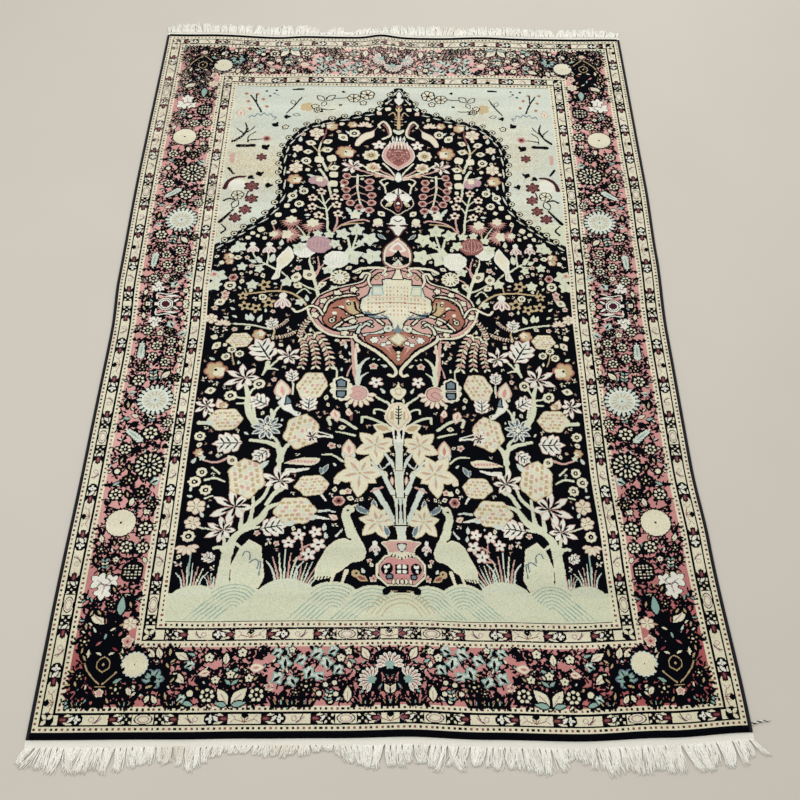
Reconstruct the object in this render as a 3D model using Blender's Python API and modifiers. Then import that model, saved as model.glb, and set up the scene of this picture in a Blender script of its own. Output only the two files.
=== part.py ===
"""A hand-knotted wool rug lying flat: pile, overcast selvedges, end strips with fringe, and one loose selvedge end.

Units are metres, +Z is up and the rug's length runs along Y with its far end at +Y. The origin is the middle of the
underside, on the surface that the rug lies on.
"""

import math
import random
from collections import namedtuple

import bmesh
import bpy
from mathutils import Matrix, Vector

# Driving sizes. The width is over the selvedges, and the length is that of the pile.
RUG_WIDTH = 1.320
RUG_LENGTH = 2.060
PILE_THICKNESS = 0.0070
SELVEDGE_WIDTH = 0.0070
SELVEDGE_HEIGHT = 0.0056
STRIP_DEPTH = 0.0130
STRIP_THICKNESS = 0.0022
PIECE_GAP = 0.0003

# The mesh of the sheet. Rows lie closer together towards the two ends, where the ripples are.
COLUMNS = 40
ROWS = 26
END_ROW_SPACING = 0.5
COLUMN_WIDTH = RUG_WIDTH / COLUMNS

# Fringe.
LOCKS_PER_COLUMN = 3
LOCK_TIP_THICKNESS = 0.0009
LOCK_LENGTH_SPREAD = 0.07
LOCK_LEAN_SPREAD = 2.0
LOCK_SEED = 41

# The loose selvedge end, which starts this far from the near right corner.
TAIL_LENGTH = 0.038
TAIL_WIDTH = 0.0046
TAIL_TIP_WIDTH = 0.0018
TAIL_FROM_CORNER = 0.016
TAIL_TURN = math.radians(9)
TAIL_SECTIONS = 10

ROUND_SIDES = 8
NEAR, FAR = -1, 1
LEFT, RIGHT = -1, 1

# How far an edge stands out from the straight rectangle, in millimetres, at a share of the way along it.
EdgeRow = namedtuple("EdgeRow", "share out_mm")
NEAR_EDGE = (
    EdgeRow(0.00, 6.0),
    EdgeRow(0.18, 4.5),
    EdgeRow(0.42, 2.0),
    EdgeRow(0.52, 0.0),
    EdgeRow(0.64, 5.0),
    EdgeRow(0.76, 8.0),
    EdgeRow(0.88, 1.0),
    EdgeRow(1.00, -9.0),
)
FAR_EDGE = (
    EdgeRow(0.00, 12.0),
    EdgeRow(0.14, 7.5),
    EdgeRow(0.25, 0.5),
    EdgeRow(0.31, 5.0),
    EdgeRow(0.44, 1.5),
    EdgeRow(0.50, 1.5),
    EdgeRow(0.56, -2.5),
    EdgeRow(0.70, -1.5),
    EdgeRow(0.87, -7.5),
    EdgeRow(1.00, -6.5),
)
# Along the length, from the near end to the far end.
LEFT_EDGE = (
    EdgeRow(0.00, 5.5),
    EdgeRow(0.12, 5.5),
    EdgeRow(0.30, 1.0),
    EdgeRow(0.46, -1.0),
    EdgeRow(0.54, 7.0),
    EdgeRow(0.70, 10.0),
    EdgeRow(1.00, 5.5),
)
RIGHT_EDGE = (
    EdgeRow(0.00, 1.5),
    EdgeRow(0.19, -11.0),
    EdgeRow(0.28, -18.5),
    EdgeRow(0.46, -17.0),
    EdgeRow(0.58, -7.5),
    EdgeRow(0.70, -1.5),
    EdgeRow(1.00, 0.5),
)

# Low ripples that lift the sheet off the floor, each rising from one end and dying out towards the middle.
Ripple = namedtuple("Ripple", "end share height half_width reach")
RIPPLES = (
    Ripple(FAR, 0.474, 0.0095, 0.040, 0.22),
    Ripple(FAR, 0.110, 0.0030, 0.075, 0.26),
    Ripple(FAR, 0.690, 0.0026, 0.070, 0.24),
    Ripple(NEAR, 0.530, 0.0030, 0.060, 0.24),
    Ripple(NEAR, 0.280, 0.0022, 0.060, 0.20),
)
RIPPLE_FLOOR = 0.0003

# The fringe along an end: the reach of its tips from the pile's edge, and how far it leans to the right.
LockRow = namedtuple("LockRow", "share reach_mm lean_deg")
NEAR_LOCKS = (
    LockRow(0.000, 48, -26),
    LockRow(0.050, 60, -6),
    LockRow(0.120, 61, -8),
    LockRow(0.170, 49, 4),
    LockRow(0.200, 46, 16),
    LockRow(0.230, 60, 2),
    LockRow(0.255, 44, -14),
    LockRow(0.275, 27, -18),
    LockRow(0.360, 35, -12),
    LockRow(0.415, 23, 0),
    LockRow(0.440, 49, 14),
    LockRow(0.485, 62, 0),
    LockRow(0.530, 47, -6),
    LockRow(0.575, 61, -8),
    LockRow(0.610, 46, -12),
    LockRow(0.660, 58, 0),
    LockRow(0.720, 62, 10),
    LockRow(0.745, 37, 10),
    LockRow(0.800, 64, 8),
    LockRow(0.880, 65, 10),
    LockRow(0.970, 61, 18),
    LockRow(1.000, 46, 28),
)
FAR_LOCKS = (
    LockRow(0.000, 40, -6),
    LockRow(0.030, 57, -12),
    LockRow(0.088, 72, -6),
    LockRow(0.120, 56, -8),
    LockRow(0.220, 58, 2),
    LockRow(0.295, 65, -2),
    LockRow(0.320, 50, -2),
    LockRow(0.345, 24, 0),
    LockRow(0.380, 57, -4),
    LockRow(0.402, 28, 0),
    LockRow(0.430, 48, 2),
    LockRow(0.500, 60, 4),
    LockRow(0.590, 65, 2),
    LockRow(0.660, 49, 3),
    LockRow(0.700, 60, 0),
    LockRow(0.860, 51, 2),
    LockRow(0.925, 59, 4),
    LockRow(1.000, 36, 8),
)
# A lock's sections from its root: how far along it, and its width as a share of the pitch.
LockSection = namedtuple("LockSection", "along width")
LOCK_SECTIONS = (LockSection(0.22, 0.68), LockSection(0.62, 0.52), LockSection(1.00, 0.20))

Finish = namedtuple("Finish", "name colour roughness")
DARK_PILE = Finish("rug_pile_wool", (0.010, 0.012, 0.022), 0.95)
BLACK_OVERCAST = Finish("rug_overcast_wool", (0.006, 0.006, 0.009), 0.90)
PALE_COTTON = Finish("rug_warp_cotton", (0.72, 0.70, 0.60), 0.92)


def smooth_between(rows, share):
    """The two rows around a share, and the eased way from the first to the second."""
    for first, second in zip(rows, rows[1:]):
        if share <= second.share:
            break
    way = (share - first.share) / (second.share - first.share)
    way = min(max(way, 0.0), 1.0)
    return first, second, way * way * (3 - 2 * way)


def table_value(rows, share, column):
    """A named column of a table, eased from row to row."""
    first, second, way = smooth_between(rows, share)
    return getattr(first, column) * (1 - way) + getattr(second, column) * way


def along_columns(value_at, x):
    """A value that runs straight between the sheet's columns, so that an end strip shares the sheet's edge line."""
    column = min(max((x + RUG_WIDTH / 2) / COLUMN_WIDTH, 0.0), float(COLUMNS))
    before = min(int(column), COLUMNS - 1)
    left_value = value_at(before / COLUMNS)
    right_value = value_at((before + 1) / COLUMNS)
    return left_value + (right_value - left_value) * (column - before)


def edge_out(rows, share):
    """How far an edge stands out at a share of its length, in metres."""
    return table_value(rows, share, "out_mm") / 1000


def lift_at_share(share, y):
    """The height of the ripples at a share of the width, for a place y along the length."""
    height = 0.0
    for ripple in RIPPLES:
        across = (share - ripple.share) * RUG_WIDTH / ripple.half_width
        inwards = max((RUG_LENGTH / 2 - ripple.end * y) / ripple.reach, 0.0)
        if inwards < 1:
            fade = (1 - inwards) ** 2 * (1 + 2 * inwards)
            height += ripple.height * math.exp(-across * across) * fade
    return max(height - RIPPLE_FLOOR, 0.0)


def lift(x, y):
    """The height of the underside above the floor: nothing but for the ripples."""
    return along_columns(lambda share: lift_at_share(share, y), x)


def on_rug(x, y):
    """Moves a point of the straight rectangle to its place on the rug's wavering outline."""
    across = x / RUG_WIDTH + 0.5
    along = min(max(y / RUG_LENGTH + 0.5, 0.0), 1.0)
    side_out = edge_out(RIGHT_EDGE, along) * across - edge_out(LEFT_EDGE, along) * (1 - across)
    far_out = along_columns(lambda share: edge_out(FAR_EDGE, share), x)
    near_out = along_columns(lambda share: edge_out(NEAR_EDGE, share), x)
    return x + side_out, y + far_out * along - near_out * (1 - along)


def row_stations():
    """The rows' places along the length, from near to far."""
    stations = []
    for row in range(ROWS + 1):
        way = 2 * row / ROWS - 1
        bend = (1 - END_ROW_SPACING) / 2
        stations.append(RUG_LENGTH / 2 * way * (1 + bend - bend * way * way))
    return stations


def clear_scene():
    """Removes everything that the startup scene holds."""
    for thing in list(bpy.data.objects):
        bpy.data.objects.remove(thing, do_unlink=True)


def make_collection(name):
    """A collection for the rug's pieces."""
    collection = bpy.data.collections.new(name)
    bpy.context.scene.collection.children.link(collection)
    return collection


def material_for(finish):
    """A Principled material of the finish's colour and roughness."""
    material = bpy.data.materials.new(finish.name)
    material.use_nodes = True
    shader = material.node_tree.nodes["Principled BSDF"]
    shader.inputs["Base Color"].default_value = (*finish.colour, 1.0)
    shader.inputs["Roughness"].default_value = finish.roughness
    shader.inputs["Metallic"].default_value = 0.0
    return material


def add_object(name, bm, collection, finish):
    """Turns a bmesh into a named object of one material."""
    bmesh.ops.recalc_face_normals(bm, faces=bm.faces)
    mesh = bpy.data.meshes.new(name)
    bm.to_mesh(mesh)
    bm.free()
    mesh.materials.append(material_for(finish))
    thing = bpy.data.objects.new(name, mesh)
    collection.objects.link(thing)
    return thing


def make_rug_body(collection):
    """The knotted sheet: its underside as a grid on the outline and ripples, thickened upwards to the pile's tips."""
    bm = bmesh.new()
    bmesh.ops.create_grid(bm, x_segments=COLUMNS, y_segments=ROWS, size=1.0)
    stations = row_stations()
    half_sheet = RUG_WIDTH / 2 - SELVEDGE_WIDTH - PIECE_GAP
    for vertex in bm.verts:
        row = round((vertex.co.y + 1) / 2 * ROWS)
        column = round((vertex.co.x + 1) / 2 * COLUMNS)
        x = min(max(column * COLUMN_WIDTH - RUG_WIDTH / 2, -half_sheet), half_sheet)
        y = stations[row]
        vertex.co = Vector((*on_rug(x, y), lift(x, y)))
    body = add_object("rug_body", bm, collection, DARK_PILE)
    thickness = body.modifiers.new("pile_thickness", "SOLIDIFY")
    thickness.thickness = PILE_THICKNESS
    thickness.offset = 1.0
    return body


def swept_tube(sections):
    """A closed round tube through sections, each a centre, a heading, a width and a height. Its foot is at z = 0."""
    bm = bmesh.new()
    bmesh.ops.create_circle(bm, cap_ends=True, segments=ROUND_SIDES, radius=0.5)
    flat_foot = Matrix.Rotation(math.pi / ROUND_SIDES, 3, "Z") * (1 / math.cos(math.pi / ROUND_SIDES))
    bm.faces.ensure_lookup_table()
    cap = bm.faces[0]
    ring = [flat_foot @ vertex.co for vertex in cap.verts]
    for index, (centre, heading, width, height) in enumerate(sections):
        if index:
            grown = bmesh.ops.extrude_face_region(bm, geom=[cap])
            if index > 1:
                bmesh.ops.delete(bm, geom=[cap], context="FACES_ONLY")
            cap = next(item for item in grown["geom"] if isinstance(item, bmesh.types.BMFace))
        across = Vector((heading.y, -heading.x, 0))
        for vertex, unit in zip(cap.verts, ring):
            vertex.co = centre + across * (unit.x * width) + Vector((0, 0, (unit.y + 0.5) * height))
    return bm


def make_selvedge(collection, name, side):
    """One overcast edge cord, which follows its side's outline on the sheet's own rows."""
    x = side * (RUG_WIDTH - SELVEDGE_WIDTH) / 2
    points = [Vector((*on_rug(x, y), 0)) for y in row_stations()]
    sections = []
    for index, point in enumerate(points):
        before = points[max(index - 1, 0)]
        after = points[min(index + 1, len(points) - 1)]
        sections.append((point, (after - before).normalized(), SELVEDGE_WIDTH, SELVEDGE_HEIGHT))
    return add_object(name, swept_tube(sections), collection, BLACK_OVERCAST)


def make_selvedge_tail(collection):
    """The loose twisted end, lying on the floor outwards from the right selvedge and tapering to its tip."""
    corner_y = -RUG_LENGTH / 2 + TAIL_FROM_CORNER
    root_x, root_y = on_rug(RUG_WIDTH / 2 + PIECE_GAP, corner_y)
    heading = Vector((math.cos(TAIL_TURN), math.sin(TAIL_TURN), 0))
    sections = []
    for step in range(TAIL_SECTIONS + 1):
        way = step / TAIL_SECTIONS
        width = TAIL_WIDTH + (TAIL_TIP_WIDTH - TAIL_WIDTH) * way * way
        centre = Vector((root_x, root_y, 0)) + heading * (TAIL_LENGTH * way)
        facing = Vector((1, 0, 0)) if step == 0 else heading
        sections.append((centre, facing, width, width))
    return add_object("selvedge_tail", swept_tube(sections), collection, BLACK_OVERCAST)


def lock_section_points(root, outwards, lean, reach, section, pitch, raised):
    """The four corners of a lock at one of its sections, as left and right ends at the floor and at the top."""
    across = Vector((1, 0, 0))
    heading = (outwards * math.cos(lean) + across * math.sin(lean)).normalized()
    centre = root + heading * (reach * section.along)
    half = across * (pitch * section.width / 2)
    foot = raised * (1 - section.along) ** 2
    top = foot + STRIP_THICKNESS + (LOCK_TIP_THICKNESS - STRIP_THICKNESS) * section.along
    return centre, half, foot, top


def make_fringe(collection, name, end, rows):
    """An end strip of flat weave, with a lock grown from the outer face of each of its cells."""
    bm = bmesh.new()
    cells = COLUMNS * LOCKS_PER_COLUMN
    pitch = RUG_WIDTH / cells
    bmesh.ops.create_grid(bm, x_segments=cells, y_segments=1, size=1.0)
    inner_y = end * (RUG_LENGTH / 2 + PIECE_GAP)
    for vertex in bm.verts:
        x = vertex.co.x * RUG_WIDTH / 2
        place_x, place_y = on_rug(x, inner_y)
        if vertex.co.y * end > 0:
            place_y += end * STRIP_DEPTH
        vertex.co = Vector((place_x, place_y, lift(x, end * RUG_LENGTH / 2)))
    made = bmesh.ops.extrude_face_region(bm, geom=list(bm.faces))
    for item in made["geom"]:
        if isinstance(item, bmesh.types.BMVert):
            item.co.z += STRIP_THICKNESS
    bmesh.ops.recalc_face_normals(bm, faces=bm.faces)
    outer_faces = [face for face in bm.faces if face.normal.y * end > 0.7]
    outer_faces.sort(key=lambda face: face.calc_center_median().x)
    spread = random.Random(LOCK_SEED + end)
    outwards = Vector((0, end, 0))
    for face in outer_faces:
        root = face.calc_center_median()
        share = min(max(root.x / RUG_WIDTH + 0.5, 0.0), 1.0)
        reach = table_value(rows, share, "reach_mm") / 1000 * (1 + spread.uniform(-1, 1) * LOCK_LENGTH_SPREAD)
        lean = math.radians(table_value(rows, share, "lean_deg") + spread.uniform(-1, 1) * LOCK_LEAN_SPREAD)
        raised = min(vertex.co.z for vertex in face.verts)
        root = Vector((root.x, root.y, 0))
        for section in LOCK_SECTIONS:
            grown = bmesh.ops.extrude_discrete_faces(bm, faces=[face])
            face = grown["faces"][0]
            centre, half, foot, top = lock_section_points(
                root, outwards, lean, reach - STRIP_DEPTH, section, pitch, raised
            )
            corners = sorted(face.verts, key=lambda vertex: vertex.co.z)
            for height, pair in ((foot, corners[:2]), (top, corners[2:])):
                left_corner, right_corner = sorted(pair, key=lambda vertex: vertex.co.x)
                left_corner.co = centre - half + Vector((0, 0, height))
                right_corner.co = centre + half + Vector((0, 0, height))
    return add_object(name, bm, collection, PALE_COTTON)


def main():
    clear_scene()
    collection = make_collection("wool_rug")
    make_rug_body(collection)
    make_selvedge(collection, "selvedge_left", LEFT)
    make_selvedge(collection, "selvedge_right", RIGHT)
    make_selvedge_tail(collection)
    make_fringe(collection, "fringe_near", NEAR, NEAR_LOCKS)
    make_fringe(collection, "fringe_far", FAR, FAR_LOCKS)


main()
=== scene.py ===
"""A hand-knotted wool prayer rug laid flat: pile, woven back, overcast edges, end weave and cotton fringe.

The frame is in metres with +Z up, and the far end of the rug is at +Y. The pattern is painted knot by
knot on a chart, in millimetres from the rug's long axis and from its near end, with motifs drawn for this
script.
"""

import sys

import functools
import logging
import math
from dataclasses import dataclass, field
from enum import IntEnum
from typing import Callable, Iterable, Sequence

import bmesh
import bpy
import numpy as np
from mathutils import Matrix, Vector


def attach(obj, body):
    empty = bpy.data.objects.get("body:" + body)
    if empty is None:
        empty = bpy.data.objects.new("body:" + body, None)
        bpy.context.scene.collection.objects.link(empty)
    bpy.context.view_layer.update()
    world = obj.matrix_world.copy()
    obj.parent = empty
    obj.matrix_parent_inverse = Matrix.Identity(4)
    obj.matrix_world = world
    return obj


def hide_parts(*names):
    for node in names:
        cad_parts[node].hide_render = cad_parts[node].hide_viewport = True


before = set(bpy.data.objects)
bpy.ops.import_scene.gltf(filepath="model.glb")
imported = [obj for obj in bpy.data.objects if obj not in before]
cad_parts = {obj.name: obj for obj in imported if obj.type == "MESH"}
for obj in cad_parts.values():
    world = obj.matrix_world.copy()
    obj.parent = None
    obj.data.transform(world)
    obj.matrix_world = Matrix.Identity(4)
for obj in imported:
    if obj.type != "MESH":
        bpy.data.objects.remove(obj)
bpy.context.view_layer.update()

LOG = logging.getLogger("rug")
BODY = "root"
MM = 0.001


class Yarn(IntEnum):
    """The dyed yarns of the pile, in the order of the palette."""

    NAVY_BLACK = 0
    IVORY = 1
    CELADON = 2
    ROSE = 3
    DEEP_ROSE = 4
    MAROON = 5
    TERRACOTTA = 6
    TAN = 7
    LILAC = 8
    TEAL = 9
    SAGE = 10
    SLATE = 11
    BROWN_ROSE = 12
    WHITE = 13
    PALE_PINK = 14
    OLIVE = 15


@dataclass(frozen=True)
class Dye:
    """A yarn's colour where its dye is deep and where light and wear have faded it, as sRGB hex."""

    yarn: Yarn
    deep: str
    faded: str


DYES = (
    Dye(Yarn.NAVY_BLACK, "#030409", "#06070c"),
    Dye(Yarn.IVORY, "#cbc5a8", "#d6d1ba"),
    Dye(Yarn.CELADON, "#b9c3b6", "#c6cbbe"),
    Dye(Yarn.ROSE, "#984a4c", "#dcada6"),
    Dye(Yarn.DEEP_ROSE, "#7a2c34", "#9c5a5c"),
    Dye(Yarn.MAROON, "#34101c", "#46202c"),
    Dye(Yarn.TERRACOTTA, "#92604f", "#a26c5c"),
    Dye(Yarn.TAN, "#a8906a", "#bba984"),
    Dye(Yarn.LILAC, "#94737c", "#ad9298"),
    Dye(Yarn.TEAL, "#7a978c", "#97aea3"),
    Dye(Yarn.SAGE, "#c0c3a6", "#ccceb6"),
    Dye(Yarn.SLATE, "#55646e", "#76868c"),
    Dye(Yarn.BROWN_ROSE, "#743f3d", "#8d5f58"),
    Dye(Yarn.WHITE, "#d2d1c2", "#d9d8cc"),
    Dye(Yarn.PALE_PINK, "#b88c82", "#c8a499"),
    Dye(Yarn.OLIVE, "#33402e", "#47523e"),
)


@dataclass(frozen=True)
class EdgeRow:
    """How far an edge stands out from the straight rectangle, at a share of the way along it."""

    share: float
    out_mm: float


@dataclass(frozen=True)
class Ripple:
    """A low wave that lifts the sheet off the floor, rising from one end and dying out inwards."""

    end: int
    share: float
    height: float
    half_width: float
    reach: float


@dataclass(frozen=True)
class FringeRow:
    """The warp ends' reach from the pile's edge and their lean to the right, at a share of the width."""

    share: float
    reach_mm: float
    lean_deg: float


NEAR, FAR = -1, 1
LEFT, RIGHT = -1, 1
NEAR_EDGE = tuple(
    EdgeRow(*row)
    for row in (
        (0.00, 6.0), (0.18, 4.5), (0.42, 2.0), (0.52, 0.0), (0.64, 5.0), (0.76, 8.0), (0.88, 1.0),
        (1.00, -9.0),
    )
)
FAR_EDGE = tuple(
    EdgeRow(*row)
    for row in (
        (0.00, 12.0), (0.14, 7.5), (0.25, 0.5), (0.31, 5.0), (0.44, 1.5), (0.50, 1.5), (0.56, -2.5),
        (0.70, -1.5), (0.87, -7.5), (1.00, -6.5),
    )
)
LEFT_EDGE = tuple(
    EdgeRow(*row)
    for row in ((0.00, 5.5), (0.12, 5.5), (0.30, 1.0), (0.46, -1.0), (0.54, 7.0), (0.70, 10.0), (1.00, 5.5))
)
RIGHT_EDGE = tuple(
    EdgeRow(*row)
    for row in ((0.00, 1.5), (0.19, -11.0), (0.28, -18.5), (0.46, -17.0), (0.58, -7.5), (0.70, -1.5),
                (1.00, 0.5))
)
RIPPLES = (
    Ripple(FAR, 0.474, 0.0095, 0.040, 0.22),
    Ripple(FAR, 0.110, 0.0030, 0.075, 0.26),
    Ripple(FAR, 0.690, 0.0026, 0.070, 0.24),
    Ripple(NEAR, 0.530, 0.0030, 0.060, 0.24),
    Ripple(NEAR, 0.280, 0.0022, 0.060, 0.20),
)
RIPPLE_FLOOR = 0.0003
NEAR_FRINGE = tuple(
    FringeRow(*row)
    for row in (
        (0.000, 48, -26), (0.050, 60, -6), (0.120, 61, -8), (0.170, 49, 4), (0.200, 46, 16), (0.230, 60, 2),
        (0.255, 44, -14), (0.275, 27, -18), (0.360, 35, -12), (0.415, 23, 0), (0.440, 49, 14),
        (0.485, 62, 0), (0.530, 47, -6), (0.575, 61, -8), (0.610, 46, -12), (0.660, 58, 0),
        (0.720, 62, 10), (0.745, 37, 10), (0.800, 64, 8), (0.880, 65, 10), (0.970, 61, 18), (1.000, 46, 28),
    )
)
FAR_FRINGE = tuple(
    FringeRow(*row)
    for row in (
        (0.000, 40, -6), (0.030, 57, -12), (0.088, 72, -6), (0.120, 56, -8), (0.220, 58, 2),
        (0.295, 65, -2), (0.320, 50, -2), (0.345, 24, 0), (0.380, 57, -4), (0.402, 28, 0), (0.430, 48, 2),
        (0.500, 60, 4), (0.590, 65, 2), (0.660, 49, 3), (0.700, 60, 0), (0.860, 51, 2), (0.925, 59, 4),
        (1.000, 36, 8),
    )
)


def eased(rows: Sequence[object], share: np.ndarray, column: str) -> np.ndarray:
    """Reads a named column of a table at any share, eased from row to row.

    Args:
        rows: The table's rows, with a share each.
        share: The places to read at.
        column: The column's name.

    Returns:
        The column's values at those places.
    """
    shares = np.array([row.share for row in rows])
    values = np.array([getattr(row, column) for row in rows])
    share = np.clip(np.asarray(share, float), shares[0], shares[-1])
    after = np.clip(np.searchsorted(shares, share, side="left"), 1, len(shares) - 1)
    way = (share - shares[after - 1]) / (shares[after] - shares[after - 1])
    way = way * way * (3 - 2 * way)
    return values[after - 1] * (1 - way) + values[after] * way


@dataclass(frozen=True)
class SheetForm:
    """The lie of the rug on the floor: its wavering outline and its low ripples, as in the CAD source."""

    width: float = 1.320
    length: float = 2.060
    pile_top: float = 0.0070
    back: float = 0.0009
    selvedge_width: float = 0.0070
    selvedge_height: float = 0.0056
    strip_depth: float = 0.0130
    strip_thickness: float = 0.0022
    gap: float = 0.0003

    def on_rug(self, x: np.ndarray, y: np.ndarray) -> tuple[np.ndarray, np.ndarray]:
        """Moves points of the straight rectangle to their places on the rug.

        Args:
            x: Places across, from the axis.
            y: Places along, from the middle.

        Returns:
            The moved places across and along.
        """
        across = x / self.width + 0.5
        along = np.clip(y / self.length + 0.5, 0.0, 1.0)
        right = eased(RIGHT_EDGE, along, "out_mm") * across
        left = eased(LEFT_EDGE, along, "out_mm") * (1 - across)
        far = eased(FAR_EDGE, across, "out_mm") * along
        near = eased(NEAR_EDGE, across, "out_mm") * (1 - along)
        return x + (right - left) * MM, y + (far - near) * MM

    def lift(self, x: np.ndarray, y: np.ndarray) -> np.ndarray:
        """The height of the underside above the floor: nothing but for the ripples.

        Args:
            x: The place across the flat rug, in metres from its middle.
            y: The place along it.

        Returns:
            The height there, in metres.
        """
        height = np.zeros(np.broadcast(x, y).shape)
        for ripple in RIPPLES:
            across = (x / self.width + 0.5 - ripple.share) * self.width / ripple.half_width
            inwards = np.clip((self.length / 2 - ripple.end * y) / ripple.reach, 0.0, 1.0)
            fade = (1 - inwards) ** 2 * (1 + 2 * inwards)
            height += ripple.height * np.exp(-across * across) * fade
        return np.maximum(height - RIPPLE_FLOOR, 0.0)


FORM = SheetForm()


def linear(colour: str) -> tuple[float, float, float, float]:
    """Turns an sRGB hex colour into the linear one that the nodes take."""
    parts = [int(colour[place : place + 2], 16) / 255 for place in (1, 3, 5)]
    parts = [part / 12.92 if part <= 0.04045 else ((part + 0.055) / 1.055) ** 2.4 for part in parts]
    return (*parts, 1.0)


def add_node(tree: bpy.types.NodeTree, kind: str, settings: dict | None = None,
             inputs: dict | None = None) -> bpy.types.Node:
    """Adds a shader node with its settings, values and links.

    Args:
        tree: The material's nodes.
        kind: The node's type.
        settings: Its options by name.
        inputs: Its inputs by name or number: a value, an output, or a node whose first output is meant.

    Returns:
        The node.
    """
    made = tree.nodes.new(kind)
    for name, value in (settings or {}).items():
        setattr(made, name, value)
    for name, value in (inputs or {}).items():
        if isinstance(value, bpy.types.Node):
            value = value.outputs[0]
        if isinstance(value, bpy.types.NodeSocket):
            tree.links.new(value, made.inputs[name])
        else:
            made.inputs[name].default_value = value
    return made


def new_material(name: str) -> tuple[bpy.types.Material, bpy.types.NodeTree]:
    """A material with an empty node tree."""
    material = bpy.data.materials.new(name)
    material.use_nodes = True
    material.node_tree.nodes.clear()
    return material, material.node_tree


@dataclass(frozen=True)
class KnotWeave:
    """How the chart's knots are stored: a square of knots to each face, as digits of six numbers."""

    columns: int = 146
    rows: int = 228
    side: int = 6
    yarns: int = 16
    place_map: str = "knot_place"
    grid_map: str = "knot_grid"
    low: str = "knots_low"
    high: str = "knots_high"
    # The dye depth also carries painted light: it is paler at the far end.
    dye: str = "dye_depth"

    @property
    def knots_across(self) -> int:
        """The knots across the rug."""
        return self.columns * self.side

    @property
    def knots_along(self) -> int:
        """The knots along the rug."""
        return self.rows * self.side

    def digits(self, knots: np.ndarray) -> np.ndarray:
        """Packs the chart.

        Args:
            knots: The chart, near row first.

        Returns:
            Six numbers for each face, one for each of its rows of knots.
        """
        cells = knots.reshape(self.rows, self.side, self.columns, self.side).transpose(0, 2, 1, 3)
        return (cells.astype(np.int64) * self.yarns ** np.arange(self.side)).sum(-1)


WEAVE = KnotWeave()


def knot_yarn(tree: bpy.types.NodeTree, blur: float) -> bpy.types.Node:
    """Adds the nodes that read which yarn a point's knot has.

    Args:
        tree: The material's nodes.
        blur: How far a tuft strays over its neighbours, in knots.

    Returns:
        The node that gives the yarn's number.
    """
    add = functools.partial(add_node, tree)
    where = add("ShaderNodeTexCoord")
    stray = add(
        "ShaderNodeTexNoise", {"noise_dimensions": "3D"},
        {"Vector": where.outputs["Object"], "Scale": 1400.0}
    )
    centred = add(
        "ShaderNodeVectorMath", {"operation": "SUBTRACT"}, {0: stray.outputs["Color"], 1: (0.5, 0.5, 0.5)}
    )
    shift = add("ShaderNodeVectorMath", {"operation": "SCALE"}, {0: centred, "Scale": blur})
    place = add("ShaderNodeUVMap", {"uv_map": WEAVE.place_map})
    moved = add("ShaderNodeVectorMath", {"operation": "ADD"}, {0: place, 1: shift})
    parts = add("ShaderNodeSeparateXYZ", inputs={0: moved})
    cell = []
    for axis in ("X", "Y"):
        inside = add(
            "ShaderNodeClamp", inputs={"Value": parts.outputs[axis], "Min": 0.001,
                                       "Max": WEAVE.side - 0.001}
        )
        cell.append(add("ShaderNodeMath", {"operation": "FLOOR"}, {0: inside}))
    column, row = cell
    sums = []
    for attribute, first in ((WEAVE.low, 0), (WEAVE.high, 3)):
        held = add("ShaderNodeAttribute", {"attribute_name": attribute})
        picks = [
            add("ShaderNodeMath", {"operation": "COMPARE"}, {0: row, 1: float(first + step), 2: 0.5})
            for step in range(3)
        ]
        chosen = add("ShaderNodeCombineXYZ", inputs=dict(enumerate(picks)))
        sums.append(
            add("ShaderNodeVectorMath", {"operation": "DOT_PRODUCT"},
                {0: held.outputs["Vector"], 1: chosen})
        )
    whole = add(
        "ShaderNodeMath", {"operation": "ADD"}, {0: sums[0].outputs["Value"], 1: sums[1].outputs["Value"]}
    )
    power = add("ShaderNodeMath", {"operation": "POWER"}, {0: float(WEAVE.yarns), 1: column})
    share = add("ShaderNodeMath", {"operation": "DIVIDE"}, {0: whole, 1: power})
    digits = add("ShaderNodeMath", {"operation": "FLOOR"}, {0: share})
    return add("ShaderNodeMath", {"operation": "FLOORED_MODULO"}, {0: digits, 1: float(WEAVE.yarns)})


def yarn_colour(tree: bpy.types.NodeTree, number: bpy.types.Node) -> bpy.types.Node:
    """Adds the palette, deep and faded, mixed by the sheet's own dye depth, which also holds painted light: a
    paler far end.

    Args:
        tree: The material's nodes.
        number: The node that gives the yarn's number.

    Returns:
        The node that gives the colour.
    """
    add = functools.partial(add_node, tree)
    place = add(
        "ShaderNodeMath", {"operation": "MULTIPLY_ADD"}, {0: number, 1: 1 / len(DYES), 2: 0.5 / len(DYES)}
    )
    ramps = []
    for shade in ("faded", "deep"):
        ramp = add("ShaderNodeValToRGB", inputs={0: place})
        ramp.color_ramp.interpolation = "CONSTANT"
        stops = ramp.color_ramp.elements
        while len(stops) < len(DYES):
            stops.new(1.0)
        for index, dye in enumerate(DYES):
            stops[index].position = index / len(DYES)
            stops[index].color = linear(getattr(dye, shade))
        ramps.append(ramp)
    # The dye depth carries painted light too: it pales the far end for the brighter light there.
    depth = add("ShaderNodeAttribute", {"attribute_name": WEAVE.dye})
    return add(
        "ShaderNodeMix",
        {"data_type": "RGBA", "clamp_factor": True},
        {0: depth.outputs["Fac"], 6: ramps[0], 7: ramps[1]},
    )


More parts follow.
